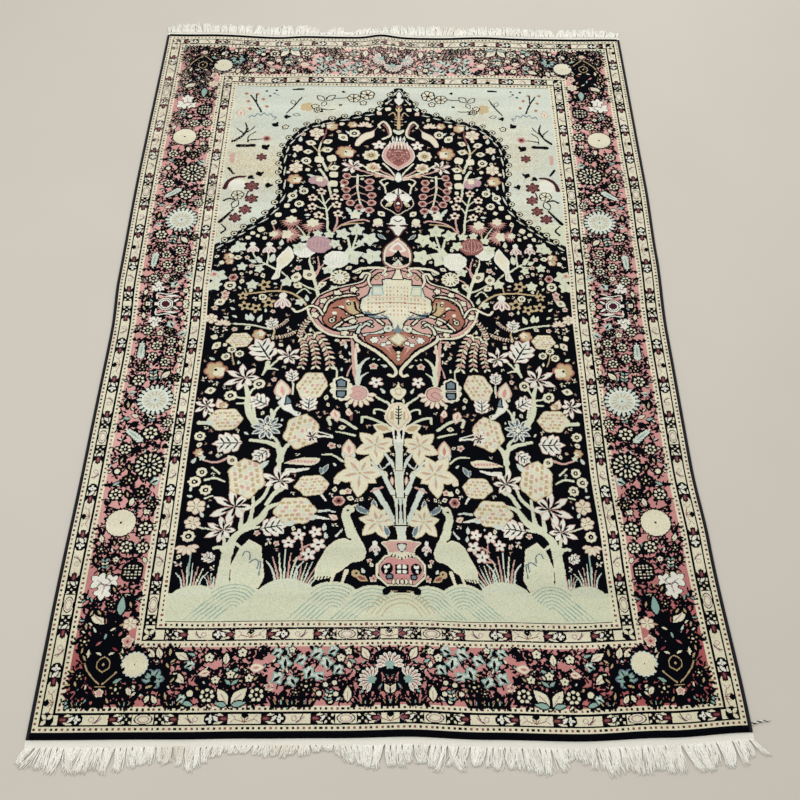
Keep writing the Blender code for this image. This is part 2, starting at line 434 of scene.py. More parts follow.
@dataclass(frozen=True)
class KnottedWool:
    """Clipped wool pile: dull, soft at each knot's edge, with streaks and specks of hand-dyed yarn."""

    name: str = "clipped_wool_pile"
    roughness: float = 0.92
    sheen: float = 0.0
    stray: float = 0.5
    knot_relief: float = 0.0005
    nap_relief: float = 0.0012
    worn_share: float = 0.965

    def material(self) -> bpy.types.Material:
        """Builds the material."""
        material, tree = new_material(self.name)
        add = functools.partial(add_node, tree)
        where = add("ShaderNodeTexCoord")
        colour = yarn_colour(tree, knot_yarn(tree, self.stray))
        grid = add("ShaderNodeUVMap", {"uv_map": WEAVE.grid_map})
        knot = add("ShaderNodeVectorMath", {"operation": "FLOOR"}, {0: grid})
        chance = add("ShaderNodeTexWhiteNoise", {"noise_dimensions": "2D"}, {"Vector": knot})
        # Each tuft takes the dye a little differently, and a few are worn down to their dark roots.
        tuft = add("ShaderNodeMapRange", inputs={"Value": chance, "To Min": 0.86, "To Max": 1.10})
        worn = add(
            "ShaderNodeMath", {"operation": "GREATER_THAN"},
            {0: chance.outputs["Value"], 1: self.worn_share}
        )
        # Bands of yarn from different dye lots run across the rug, a few centimetres deep.
        stretch = add(
            "ShaderNodeMapping", {"vector_type": "POINT"},
            {"Vector": where.outputs["Object"], "Scale": (1.2, 22.0, 1.0)},
        )
        lots = add("ShaderNodeTexNoise", inputs={"Vector": stretch, "Scale": 1.0, "Detail": 2.0})
        band = add("ShaderNodeMapRange", inputs={"Value": lots, "From Min": 0.3, "From Max": 0.7,
                                                 "To Min": 0.92,
                                                 "To Max": 1.07})
        level = add("ShaderNodeMath", {"operation": "MULTIPLY"}, {0: tuft, 1: band})
        rooted = add("ShaderNodeMath", {"operation": "MULTIPLY_ADD"}, {0: worn, 1: -0.35, 2: level})
        shade = add("ShaderNodeVectorMath", {"operation": "SCALE"}, {0: colour.outputs[2], "Scale": rooted})
        fibres = add(
            "ShaderNodeTexNoise", inputs={"Vector": where.outputs["Object"], "Scale": 900.0, "Detail": 2.0}
        )
        nap = add(
            "ShaderNodeTexNoise", inputs={"Vector": where.outputs["Object"], "Scale": 60.0, "Detail": 3.0}
        )
        fine = add(
            "ShaderNodeBump", inputs={"Strength": 0.7, "Distance": self.knot_relief, "Height": fibres}
        )
        broad = add("ShaderNodeBump", inputs={"Strength": 0.6, "Distance": self.nap_relief, "Height": nap,
                                              "Normal": fine})
        shader = add(
            "ShaderNodeBsdfPrincipled",
            inputs={
                "Base Color": shade, "Roughness": self.roughness, "Sheen Weight": self.sheen,
                "Sheen Roughness": 0.6, "Normal": broad, "Specular IOR Level": 0.04,
            },
        )
        add("ShaderNodeOutputMaterial", inputs={0: shader})
        return material


@dataclass(frozen=True)
class WovenBack:
    """The back of a knotted rug: the design again, crisp and matt, in fine ribs of weft, with painted shade
    in the grooves between them.
    """

    name: str = "woven_wool_back"
    roughness: float = 0.95
    rib_relief: float = 0.0003

    def material(self) -> bpy.types.Material:
        """Builds the material."""
        material, tree = new_material(self.name)
        add = functools.partial(add_node, tree)
        colour = yarn_colour(tree, knot_yarn(tree, 0.25))
        grid = add("ShaderNodeUVMap", {"uv_map": WEAVE.grid_map})
        split = add("ShaderNodeSeparateXYZ", inputs={0: grid})
        # One rib of weft lies between two rows of knots, about 1.5 mm apart. The colour is darkened down to
        # 70% in the sunken grooves between ribs: painted shade.
        phase = add("ShaderNodeMath", {"operation": "MULTIPLY"}, {0: split.outputs["Y"], 1: 2 * math.pi})
        rib = add("ShaderNodeMath", {"operation": "COSINE"}, {0: phase})
        shade = add(
            "ShaderNodeMapRange", inputs={"Value": rib, "From Min": -1.0, "To Min": 0.98, "To Max": 0.70}
        )
        groove_shaded_colour = add("ShaderNodeVectorMath", {"operation": "SCALE"}, {0: colour.outputs[2], "Scale": shade})
        relief = add(
            "ShaderNodeBump", inputs={"Strength": 0.6, "Distance": -self.rib_relief, "Height": rib}
        )
        shader = add(
            "ShaderNodeBsdfPrincipled",
            inputs={"Base Color": groove_shaded_colour, "Roughness": self.roughness, "Normal": relief,
                    "Specular IOR Level": 0.2},
        )
        add("ShaderNodeOutputMaterial", inputs={0: shader})
        return material


@dataclass(frozen=True)
class SpunYarn:
    """Plain spun yarn, wool or cotton: matt, in two close shades that run along its fibres."""

    name: str
    dark: str
    light: str
    fibre_mm: float
    roughness: float = 0.93
    sheen: float = 0.1
    relief: float = 0.0003
    soil: str = ""

    def material(self) -> bpy.types.Material:
        """Builds the material."""
        material, tree = new_material(self.name)
        add = functools.partial(add_node, tree)
        where = add("ShaderNodeTexCoord")
        fibres = add(
            "ShaderNodeTexNoise",
            inputs={"Vector": where.outputs["Object"], "Scale": 1000 / self.fibre_mm, "Detail": 3.0},
        )
        spread = add("ShaderNodeMapRange", inputs={"Value": fibres, "From Min": 0.3, "From Max": 0.7})
        shade = add(
            "ShaderNodeMix", {"data_type": "RGBA"}, {0: spread, 6: linear(self.dark), 7: linear(self.light)}
        )
        colour = shade.outputs[2]
        if self.soil:
            # Handling and dust leave soft patches, a hand's breadth across.
            patches = add(
                "ShaderNodeTexNoise", inputs={"Vector": where.outputs["Object"], "Scale": 14.0,
                                              "Detail": 2.0}
            )
            amount = add(
                "ShaderNodeMapRange", inputs={"Value": patches, "From Min": 0.52, "From Max": 0.85}
            )
            colour = add(
                "ShaderNodeMix", {"data_type": "RGBA"}, {0: amount, 6: colour, 7: linear(self.soil)}
            ).outputs[2]
        bump = add("ShaderNodeBump", inputs={"Strength": 0.5, "Distance": self.relief, "Height": fibres})
        shader = add(
            "ShaderNodeBsdfPrincipled",
            inputs={
                "Base Color": colour, "Roughness": self.roughness, "Sheen Weight": self.sheen,
                "Normal": bump,
                "Specular IOR Level": 0.25,
            },
        )
        add("ShaderNodeOutputMaterial", inputs={0: shader})
        return material


@dataclass(frozen=True)
class WovenCotton:
    """The flat-woven end strip: undyed cotton weft packed over the warps, in ribs that cross the strip."""

    name: str = "flat_woven_cotton"
    light: str = "#f2efe4"
    dark: str = "#cdc9b8"
    warp_mm: float = 1.5
    weft_mm: float = 0.9

    def material(self) -> bpy.types.Material:
        """Builds the material."""
        material, tree = new_material(self.name)
        add = functools.partial(add_node, tree)
        where = add("ShaderNodeTexCoord")
        split = add("ShaderNodeSeparateXYZ", inputs={0: where.outputs["Object"]})
        waves = []
        for axis, pitch in (("X", self.warp_mm), ("Y", self.weft_mm)):
            turn = add(
                "ShaderNodeMath", {"operation": "MULTIPLY"},
                {0: split.outputs[axis], 1: 2000 * math.pi / pitch}
            )
            waves.append(add("ShaderNodeMath", {"operation": "SINE"}, {0: turn}))
        weave = add("ShaderNodeMath", {"operation": "MULTIPLY"}, {0: waves[0], 1: waves[1]})
        spread = add(
            "ShaderNodeMapRange", inputs={"Value": weave, "From Min": -1.0, "To Min": 0.0, "To Max": 0.6}
        )
        shade = add(
            "ShaderNodeMix", {"data_type": "RGBA"}, {0: spread, 6: linear(self.light), 7: linear(self.dark)}
        )
        bump = add("ShaderNodeBump", inputs={"Strength": 0.5, "Distance": 0.0004, "Height": weave})
        shader = add(
            "ShaderNodeBsdfPrincipled",
            inputs={"Base Color": shade.outputs[2], "Roughness": 0.92, "Normal": bump,
                    "Specular IOR Level": 0.25},
        )
        add("ShaderNodeOutputMaterial", inputs={0: shader})
        return material


@dataclass(frozen=True)
class StudioPaint:
    """A plain matt floor, pale, with the faintest mottling."""

    name: str = "pale_matt_floor"
    light: str = "#c4beb3"
    dark: str = "#beb8ad"

    def material(self) -> bpy.types.Material:
        """Builds the material."""
        material, tree = new_material(self.name)
        add = functools.partial(add_node, tree)
        where = add("ShaderNodeTexCoord")
        mottle = add("ShaderNodeTexNoise", inputs={"Vector": where.outputs["Object"], "Scale": 3.0})
        shade = add(
            "ShaderNodeMix", {"data_type": "RGBA"}, {0: mottle, 6: linear(self.light), 7: linear(self.dark)}
        )
        shader = add("ShaderNodeBsdfPrincipled", inputs={"Base Color": shade.outputs[2], "Roughness": 0.8})
        add("ShaderNodeOutputMaterial", inputs={0: shader})
        return material


OVERCAST_WOOL = SpunYarn("overcast_black_wool", "#07080c", "#1b1c24", fibre_mm=0.8)
WARP_COTTON = SpunYarn("cut_cotton_warp", "#dfdccf", "#fbf9f2", fibre_mm=2.5, sheen=0.2, soil="#d8d2c0")


Band = Yarn | tuple[Yarn, float]
Place = tuple[float, float]


def arc_points(points: Sequence[Place], steps: int = 8) -> np.ndarray:
    """Draws a smooth line through a few points.

    Args:
        points: The points that it goes through.
        steps: Its straight bits between two points.

    Returns:
        The points along it.
    """
    given = np.array(points, float)
    if len(given) < 3:
        return given
    ends = np.vstack([2 * given[0] - given[1], given, 2 * given[-1] - given[-2]])
    way = np.linspace(0, 1, steps, endpoint=False)[:, None]
    drawn = []
    for a, b, c, d in zip(ends, ends[1:], ends[2:], ends[3:]):
        drawn.append(0.5 * (2 * b + (c - a) * way + (2 * a - 5 * b + 4 * c - d) * way**2
                            + (3 * b - a - 3 * c + d) * way**3))
    return np.vstack([*drawn, given[-1:]])


@dataclass
class KnotChart:
    """The chart of the pile, painted shape over shape in millimetres."""

    width_mm: float = FORM.width / MM
    length_mm: float = FORM.length / MM
    knots: np.ndarray = field(
        default_factory=lambda: np.zeros((WEAVE.knots_along, WEAVE.knots_across), np.uint8)
    )
    pose: np.ndarray = field(default_factory=lambda: np.eye(3))

    @property
    def knot_mm(self) -> tuple[float, float]:
        """The size of a knot, across and along."""
        return self.width_mm / WEAVE.knots_across, self.length_mm / WEAVE.knots_along

    @property
    def knot_places(self) -> tuple[np.ndarray, np.ndarray]:
        """Where the knots' middles lie: across, as a row, and along, as a column."""
        across, along = self.knot_mm
        rows, columns = self.knots.shape
        x = (np.arange(columns) + 0.5) * across - self.width_mm / 2
        return x, (np.arange(rows)[:, None] + 0.5) * along

    def at(self, x: float, y: float, turn: float = 0.0, size: float = 1.0,
           flip: bool = False) -> "KnotChart":
        """The same chart, drawn on from another origin.

        Args:
            x: The origin across, in the present place's millimetres.
            y: The origin along.
            turn: The turn to the left, in degrees.
            size: The scale.
            flip: Whether left and right change sides.

        Returns:
            A chart that shares these knots.
        """
        angle = math.radians(turn)
        cos, sin = size * math.cos(angle), size * math.sin(angle)
        side = -1 if flip else 1
        step = np.array([[side * cos, -sin, x], [side * sin, cos, y], [0, 0, 1]])
        return KnotChart(self.width_mm, self.length_mm, self.knots, self.pose @ step)

    def lay(self, box: Sequence[float], inset: Callable[[np.ndarray, np.ndarray], np.ndarray],
            bands: Iterable[Band]) -> None:
        """Paints a shape in bands from its outline inwards.

        Args:
            box: The shape's own box: left, bottom, right, top.
            inset: Gives how deep a place lies inside the shape, in millimetres.
            bands: Each yarn with the depth that it starts from. A negative depth is a line round the shape.
        """
        bands = tuple(band if isinstance(band, tuple) else (band, 0.0) for band in bands)
        margin = max(0.0, -min(depth for _, depth in bands)) + 0.8
        corners = np.array([[x, y, 1.0] for x in (box[0] - margin, box[2] + margin)
                            for y in (box[1] - margin, box[3] + margin)]).T
        placed = self.pose @ corners
        across, along = self.knot_mm
        first_column = max(0, int((placed[0].min() + self.width_mm / 2) / across))
        last_column = min(self.knots.shape[1], int((placed[0].max() + self.width_mm / 2) / across) + 2)
        first_row = max(0, int(placed[1].min() / along))
        last_row = min(self.knots.shape[0], int(placed[1].max() / along) + 2)
        if first_column >= last_column or first_row >= last_row:
            return
        x = (np.arange(first_column, last_column) + 0.5) * across - self.width_mm / 2
        y = (np.arange(first_row, last_row)[:, None] + 0.5) * along
        back = np.linalg.inv(self.pose)
        depth = inset(
            back[0, 0] * x + back[0, 1] * y + back[0, 2], back[1, 0] * x + back[1, 1] * y + back[1, 2]
        )
        window = self.knots[first_row:last_row, first_column:last_column]
        for yarn, start in bands:
            window[depth > start] = yarn

    def rectangle(self, left: float, bottom: float, right: float, top: float, *bands: Band) -> None:
        """A rectangle with bands.

        Args:
            left: Its left edge.
            bottom: Its near edge.
            right: Its right edge.
            top: Its far edge.
            bands: Its yarns, each with the depth that it starts from.
        """
        self.lay(
            (left, bottom, right, top),
            lambda x, y: np.minimum(np.minimum(x - left, right - x), np.minimum(y - bottom, top - y)),
            bands,
        )

    def disc(self, x: float, y: float, radius: float, *bands: Band, squash: float = 1.0) -> None:
        """A round shape or an oval.

        Args:
            x: Its middle across.
            y: Its middle along.
            radius: Its reach across.
            bands: Its yarns, each with the depth that it starts from.
            squash: Its height as a share of its width.
        """
        self.lay(
            (x - radius, y - radius * max(1, squash), x + radius, y + radius * max(1, squash)),
            lambda u, v: radius - np.hypot(u - x, (v - y) / squash),
            bands,
        )

    def flower(self, x: float, y: float, radius: float, petals: int, *bands: Band, notch: float = 0.3,
               turn: float = 0.0, sharp: float = 1.0, teeth: int = 0, bite: float = 0.0) -> None:
        """A flower of round petals.

        Args:
            x: Its middle across.
            y: Its middle along.
            radius: Its reach.
            petals: The number of its petals.
            bands: Its bands.
            notch: How deep the notches between its petals go, as a share of its reach.
            turn: The turn of its first petal, in degrees.
            sharp: The power of the petals' outline: over 1 makes them pointed.
            teeth: Small teeth on each petal.
            bite: How deep they go, as a share of its reach.
        """

        def inset(u: np.ndarray, v: np.ndarray) -> np.ndarray:
            """How deep a place lies in the petals."""
            angle = np.arctan2(v - y, u - x) - math.radians(turn)
            petal = np.abs(np.cos(angle * petals / 2)) ** sharp
            tooth = bite * (0.5 - 0.5 * np.cos(angle * petals * teeth)) if teeth else 0.0
            return radius * (1 - notch + notch * petal - tooth) - np.hypot(u - x, v - y)

        self.lay((x - radius, y - radius, x + radius, y + radius), inset, bands)

    def leaf(self, x: float, y: float, length: float, width: float, turn: float, *bands: Band,
             belly: float = 0.5) -> None:
        """A pointed leaf.

        Args:
            x: The place of its stalk across.
            y: The place of its stalk along.
            length: How long it is.
            width: How wide it is.
            turn: The way that it points, in degrees to the left.
            bands: Its yarns, each with the depth that it starts from.
            belly: Where it is widest, as a share of its length.
        """

        def inset(u: np.ndarray, v: np.ndarray) -> np.ndarray:
            """How deep a place lies in the leaf."""
            share = np.clip(u / length, 0.0, 1.0)
            bent = np.where(share < belly, share / (2 * belly), 0.5 + (share - belly) / (2 * (1 - belly)))
            over = np.maximum(-u, 0) + np.maximum(u - length, 0)
            return width / 2 * np.sin(np.pi * bent) - np.abs(v) - over

        self.at(x, y, turn).lay((0, -width / 2, length, width / 2), inset, bands)

    def stroke(self, points: Sequence[Place], width: float, *bands: Band, tip: float | None = None,
               smooth: bool = True) -> None:
        """A line of even or tapering width.

        Args:
            points: The places that it goes through.
            width: Its width where it starts.
            bands: Its bands, from its outline inwards.
            tip: Its width where it ends, if that differs.
            smooth: Whether it bends smoothly at its points.
        """
        path = arc_points(points) if smooth else np.array(points, float)
        widths = np.linspace(width, width if tip is None else tip, len(path))

        def inset(u: np.ndarray, v: np.ndarray) -> np.ndarray:
            """How deep a place lies in the line."""
            best = np.full(np.broadcast(u, v).shape, -1e9)
            for (ax, ay), (bx, by), wide, narrow in zip(path, path[1:], widths, widths[1:]):
                dx, dy = bx - ax, by - ay
                along = np.clip(((u - ax) * dx + (v - ay) * dy) / max(dx * dx + dy * dy, 1e-9), 0, 1)
                off = np.hypot(u - ax - along * dx, v - ay - along * dy)
                best = np.maximum(best, (wide + (narrow - wide) * along) / 2 - off)
            return best

        half = max(widths) / 2
        low, high = path.min(0) - half, path.max(0) + half
        self.lay((*low, *high), inset, bands)

    def shape(self, points: Sequence[Place], *bands: Band, smooth: bool = True) -> None:
        """A closed shape.

        Args:
            points: The points of its outline.
            bands: Its yarns, each with the depth that it starts from.
            smooth: Whether the outline bends smoothly through them.
        """
        path = arc_points([*points, points[0]], 6) if smooth else np.array([*points, points[0]], float)

        def inset(u: np.ndarray, v: np.ndarray) -> np.ndarray:
            """How deep a place lies in the shape."""
            near = np.full(np.broadcast(u, v).shape, 1e9)
            inside = np.zeros(near.shape, bool)
            for (ax, ay), (bx, by) in zip(path, path[1:]):
                dx, dy = bx - ax, by - ay
                along = np.clip(((u - ax) * dx + (v - ay) * dy) / max(dx * dx + dy * dy, 1e-9), 0, 1)
                near = np.minimum(near, np.hypot(u - ax - along * dx, v - ay - along * dy))
                if dy:
                    crosses = ((ay > v) != (by > v)) & (u < (bx - ax) * (v - ay) / dy + ax)
                    inside ^= crosses
            return np.where(inside, near, -near)

        self.lay((*path.min(0), *path.max(0)), inset, bands)


BLACK, IVORY, CELADON, ROSE, DEEP_ROSE, MAROON, TERRACOTTA, TAN = tuple(Yarn)[:8]
LILAC, TEAL, SAGE, SLATE, BROWN_ROSE, WHITE, PALE_PINK, OLIVE = tuple(Yarn)[8:]


def edged(fill: Yarn, line: Yarn = BLACK, width: float = 2.8) -> tuple[Band, Band]:
    """A fill with a line round it."""
    return (line, -width), (fill, 0.0)


def round_the(count: int, radius: float, turn: float = 90.0,
              sweep: float = 360.0) -> list[tuple[float, float, float]]:
    """Places on a circle.

    Args:
        count: How many.
        radius: The circle's radius.
        turn: Where the first one lies, in degrees.
        sweep: How far round they go.

    Returns:
        Each place across and along, with its direction in degrees.
    """
    angles = [turn + sweep * step / count for step in range(count)]
    return [(radius * math.cos(math.radians(a)), radius * math.sin(math.radians(a)), a) for a in angles]


class Motif(IntEnum):
    """The small motifs that the border and the field share."""

    WHEEL = 0
    FLORET = 1
    BLOSSOM = 2
    BERRY = 3
    LEAF = 4
    DARK_LEAF = 5
    TEAL_LEAF = 6
    DISC = 7
    SAW = 8
    SUN = 9
    BLOT = 10
    TEAL_FLOWER = 11
    PALMETTE = 12
    GRASS = 13
    FEATHER = 14
    COMB = 15
    CLUSTER = 16
    STAR = 17
    ARROW = 18
    RING = 19
    MAPLE = 20
    BLOOM = 21
    BUD = 22
    SPRIG = 23
    TWIG = 24
    CURL = 25
    PINK = 26
    STARLET = 27
    CHERRY = 28
    DAISY = 29
    ROSETTE = 30
    LILAC_PEONY = 31
    PALE_PEONY = 32
    VINE_LEAF = 33
    THISTLE = 34
    BELL = 35
    FERN = 36
    LOBED = 37
    LILY = 38
    EYE_LEAF = 39
    OVAL = 40
    DROP = 41
    TUFT = 42
    LOG = 43
    SLATE_LEAF = 44
    BIRDLET = 45
    MALLOW = 46
    SKIRT = 47
    FIVE = 48
    POINT_STAR = 49
    WATER_LILY = 50
    PEACH = 51
    PLUM = 52
    OUTLINED_WHEEL = 53
    OUTLINED_LEAF = 54
    BERRY_STALK = 55


def draw_wheel(c: KnotChart) -> None:
    """A black flower with a ring of ivory petals."""
    c.flower(0, 0, 17, 7, BLACK, notch=0.14)
    for x, y, _ in round_the(7, 9.6):
        c.disc(x, y, 3.1, IVORY)
    c.disc(0, 0, 2.4, IVORY)


def draw_floret(c: KnotChart) -> None:
    """A black flower of five petals with an ivory heart and pricked petals."""
    c.flower(0, 0, 17, 5, BLACK, notch=0.34, turn=90)
    for x, y, _ in round_the(5, 8.0):
        c.disc(x, y, 1.5, TAN)
    c.disc(0, 0, 2.4, IVORY)


def draw_blossom(c: KnotChart) -> None:
    """An ivory flower outlined in black."""
    c.flower(0, 0, 9, 5, (BLACK, -3.8), IVORY, notch=0.35, turn=90)
    c.disc(0, 0, 2.0, BLACK)


def draw_berry(c: KnotChart) -> None:
    """An ivory berry outlined in black."""
    c.disc(0, 0, 4.6, *edged(IVORY, width=3.8))


def draw_leaf(c: KnotChart) -> None:
    """An ivory leaf outlined in black, with a vein."""
    c.leaf(0, 0, 26, 13, 90, *edged(IVORY, width=3.6), belly=0.45)
    c.stroke(((0, 3), (0, 17)), 1.4, LILAC)


def draw_dark_leaf(c: KnotChart) -> None:
    """A black leaf with a tan sliver."""
    c.leaf(-1, 0, 28, 15, 90, BLACK)
    c.leaf(0, 6, 13, 4.0, 90, TAN)


def draw_teal_leaf(c: KnotChart) -> None:
    """A teal leaf outlined in black."""
    c.leaf(0, 0, 30, 11, 90, *edged(TEAL, width=3.4), belly=0.35)


def draw_disc(c: KnotChart) -> None:
    """A plain ivory disc with a tiny dark eye."""
    c.flower(0, 0, 31, 24, (BLACK, -2.4), IVORY, notch=0.04)
    c.rectangle(-2.2, -2.2, 2.2, 2.2, BLACK)


def draw_saw(c: KnotChart) -> None:
    """An ivory disc ringed by pale petals with black between them."""
    c.disc(0, 0, 41.5, BLACK)
    for x, y, turn in round_the(20, 25):
        c.leaf(x, y, 17, 7.6, turn, (BLACK, -1.4), CELADON, belly=0.6)
    c.disc(0, 0, 30, WHITE, (CELADON, 2.4))
    for _, _, turn in round_the(14, 1):
        c.at(0, 0, turn).leaf(9, 0, 17, 3.2, 0, TAN)
    c.rectangle(-1.6, -2.4, 1.6, 2.4, BLACK)


def draw_sun(c: KnotChart) -> None:
    """A plain ivory disc with a finely scalloped edge, on short black strokes."""
    for x, y, turn in round_the(15, 20):
        c.leaf(x, y, 19, 7.0, turn + 9, BLACK)
    c.flower(0, 0, 26, 18, (BLACK, -2.6), CELADON, (IVORY, 2.4), notch=0.08)
    c.rectangle(-1.2, -2.2, 1.2, 2.2, BLACK)


def draw_blot(c: KnotChart) -> None:
    """A mint leaf of no clear outline with black flecks."""
    c.flower(0, 0, 13, 4, TEAL, (CELADON, 3.4), notch=0.4, turn=20, teeth=2, bite=0.1)
    c.leaf(-9, -6, 18, 6, 30, BLACK)
    c.disc(5, 7, 3.2, CELADON)


def draw_teal_flower(c: KnotChart) -> None:
    """A teal flower with a dark heart."""
    c.flower(0, 0, 21, 6, (BLACK, -7), SLATE, (TEAL, 2.5), notch=0.28)
    for x, y, turn in round_the(6, 6, turn=60):
        c.leaf(x, y, 13, 3.0, turn, BLACK)
    c.disc(0, 0, 6.5, BLACK)


def draw_palmette(c: KnotChart) -> None:
    """A fan of ivory petals on a black halo, over a teal heart."""
    c.disc(0, 6, 26, BLACK)
    for x, y, turn in round_the(9, 5, turn=-2, sweep=207):
        c.leaf(x, y, 23, 8.5, turn, (BLACK, -1.4), WHITE, (PALE_PINK, 2.6), belly=0.62)
    c.flower(0, 0, 9, 5, TEAL, notch=0.3, turn=90)


def draw_grass(c: KnotChart) -> None:
    """A tuft of black blades with olive slivers."""
    for step in range(-3, 4):
        c.stroke(((step * 4.5, -2), (step * 6.5, 9), (step * 8.6, 22 - abs(step) * 2)), 5.6, BLACK, tip=2.4)
    for step in range(-2, 3, 2):
        c.stroke(((step * 4.5, 2), (step * 6.3, 9)), 1.6, (TAN if step else TEAL, 0))


def draw_feather(c: KnotChart) -> None:
    """A pale teal feather leaf with a toothed edge."""
    for step in range(6):
        for side in (-1, 1):
            c.leaf(side * 2, 6 + step * 8, 14 - step, 7, 90 - side * 42, (BLACK, -1.8), belly=0.4)
    for step in range(6):
        for side in (-1, 1):
            c.leaf(side * 1, 6 + step * 8, 13 - step, 6.5, 90 - side * 42, CELADON, belly=0.4)
    c.leaf(0, 0, 60, 12, 90, CELADON, (TEAL, 3.5))


def draw_comb(c: KnotChart) -> None:
    """A black basket of ivory dashes."""
    c.flower(0, 0, 25, 4, BLACK, notch=0.14, turn=45)
    for row in range(-2, 3):
        for column in range(-2, 3):
            if abs(row) + abs(column) < 4:
                c.leaf(column * 7.4 - 2.4, row * 6.6, 5.4, 3.8, 20 * (row % 2) - 10, IVORY)
    c.disc(0, 0, 3.6, BLACK)


def draw_cluster(c: KnotChart) -> None:
    """A round spray: ivory petals in two rings on black."""
    c.flower(0, 0, 36, 14, BLACK, notch=0.12)
    for count, radius, long, wide in ((15, 19, 11, 6.0), (9, 8, 10, 5.0)):
        for x, y, turn in round_the(count, radius):
            c.leaf(x, y, long, wide, turn, IVORY, belly=0.65)
    c.disc(0, 0, 5.0, BLACK)
    c.disc(0, 0, 2.2, TEAL)


def draw_star(c: KnotChart) -> None:
    """Three pale leaves that spread from one point."""
    for turn, long in ((40, 30), (145, 38), (262, 34)):
        c.flower(14 * math.cos(math.radians(turn)), 14 * math.sin(math.radians(turn)), long * 0.52, 5,
                 (BLACK, -2), WHITE, notch=0.42, turn=turn, sharp=1.4)
        c.stroke(
            ((0, 0), (20 * math.cos(math.radians(turn)), 20 * math.sin(math.radians(turn)))), 4, LILAC,
            tip=1
        )


def draw_arrow(c: KnotChart) -> None:
    """A small black leaf with a barb."""
    c.leaf(0, 0, 18, 11, 90, BLACK, belly=0.6)
    c.leaf(0, 5, 13, 6, 30, BLACK)


def draw_ring(c: KnotChart) -> None:
    """A small ivory ring floret with a dark eye."""
    c.flower(0, 0, 10, 8, IVORY, notch=0.12)
    c.disc(0, 0, 4.6, BLACK, (BLACK, 1.6))
    c.disc(0, 0, 1.8, IVORY)


def broad_leaf(c: KnotChart, lobes: Sequence[Place], edge: Yarn, fill: Yarn, rim: float = 1.5) -> None:
    """A leaf of broad pointed lobes.

    Args:
        c: The chart, placed where the lobes meet.
        lobes: The direction and the reach of each lobe.
        edge: The yarn of its edge.
        fill: The yarn inside it.
        rim: The edge's width.
    """
    for yarn, inset in ((edge, 0.0), (fill, rim)):
        for turn, reach in lobes:
            c.leaf(0, 0, reach, 0.52 * reach, turn, (yarn, inset), belly=0.54)
            c.leaf(0, 0, 0.72 * reach, 0.28 * reach, turn + 21, (yarn, inset), belly=0.6)
            c.leaf(0, 0, 0.72 * reach, 0.28 * reach, turn - 21, (yarn, inset), belly=0.6)


def draw_maple(c: KnotChart) -> None:
    """A pale oak leaf that lies along its black midrib, with side veins."""
    for yarn, inset in ((PALE_PINK, 0.0), (WHITE, 1.3)):
        c.leaf(0, -22, 54, 26, 90, (yarn, inset), belly=0.4)
        for y, reach in ((-16, 22), (-4, 26), (8, 22)):
            for side in (-1, 1):
                c.leaf(0, y, reach, 13, 90 - side * 58, (yarn, inset), belly=0.62)
    c.leaf(0, -26, 50, 3.0, 90, BLACK)
    for y in (-14, -2, 9):
        for side in (-1, 1):
            c.leaf(0, y, 17, 3.0, 90 - side * 54, BLACK)


def draw_bloom(c: KnotChart) -> None:
    """A full tree blossom with an uneven edge, brocaded all over in small soft bricks."""
    reaches = (33, 29, 32, 28, 33, 30, 35, 29, 32, 28, 31, 29)
    edge = [(1.06 * reach * math.cos(step * math.pi / 6), 0.9 * reach * math.sin(step * math.pi / 6))
            for step, reach in enumerate(reaches)]
    c.shape(edge, TAN, (IVORY, 1.5))
    for row in range(-3, 4):
        for column in range(-3, 4):
            x, y = column * 9.6 + (row % 2) * 4.8, row * 8.0
            if math.hypot(x, y * 1.15) < 28:
                yarn = (PALE_PINK, TAN, CELADON, TAN, PALE_PINK, SAGE, TAN)[(row * 3 + column * 5) % 7]
                c.rectangle(x - 3.3, y - 2.5, x + 3.3, y + 2.5, yarn)


def draw_bud(c: KnotChart) -> None:
    """A pointed bud on a calyx."""
    c.leaf(0, -2, 20, 12, 90, (PALE_PINK, -1.6), IVORY, belly=0.35)
    c.leaf(0, 0, 12, 4, 90, ROSE)


def draw_sprig(c: KnotChart) -> None:
    """A twig with paired leaves."""
    c.stroke(((0, 0), (2, 14), (0, 30)), 3.6, BLACK)
    for step in range(3):
        for side in (-1, 1):
            c.leaf(0, 6 + 9 * step, 12, 5, 90 - side * 52, *edged(IVORY if step % 2 else TEAL, width=2.4))


def draw_twig(c: KnotChart) -> None:
    """A small pale twig with three leaves, for a dark ground."""
    c.stroke(((0, -12), (1, -2), (-1, 10)), 2.0, PALE_PINK)
    for y, turn, yarn in ((-7, 30, CELADON), (-3, 150, IVORY), (4, 95, IVORY)):
        c.leaf(0, y, 12, 6, turn, yarn)


def draw_curl(c: KnotChart) -> None:
    """A small curled shoot in muted yarns, for a dark ground."""
    c.stroke(((-9, -4), (-2, 4), (6, 3), (8, -3)), 3.4, BROWN_ROSE, tip=2.4)
    c.leaf(-6, -2, 12, 4.8, 70, TAN)
    c.leaf(0, 4, 9, 4.0, -60, CELADON)


def draw_pink(c: KnotChart) -> None:
    """A small pink flower with an ivory edge and a dark heart."""
    c.flower(0, 0, 9.5, 5, IVORY, (PALE_PINK, 1.8), notch=0.34, turn=90)
    c.disc(0, 0, 2.4, DEEP_ROSE)


def draw_starlet(c: KnotChart) -> None:
    """A small star of five square ivory petals round a dark hole."""
    for x, y, _ in round_the(5, 8.2):
        c.disc(x, y, 4.7, PALE_PINK, (IVORY, 1.0))
    c.disc(0, 0, 4.4, BLACK)


def draw_cherry(c: KnotChart) -> None:
    """A rose ring flower with a dark eye."""
    c.flower(0, 0, 11.5, 6, PALE_PINK, (BROWN_ROSE, 3.4), notch=0.12)
    c.disc(0, 0, 3.2, BLACK)


def draw_daisy(c: KnotChart) -> None:
    """An ivory daisy with dark slits and a celadon heart."""
    c.flower(0, 0, 23, 12, IVORY, notch=0.10)
    for x, y, turn in round_the(12, 10, turn=105):
        c.leaf(x, y, 10, 3.2, turn, BLACK)
    c.disc(0, 0, 6.0, CELADON)


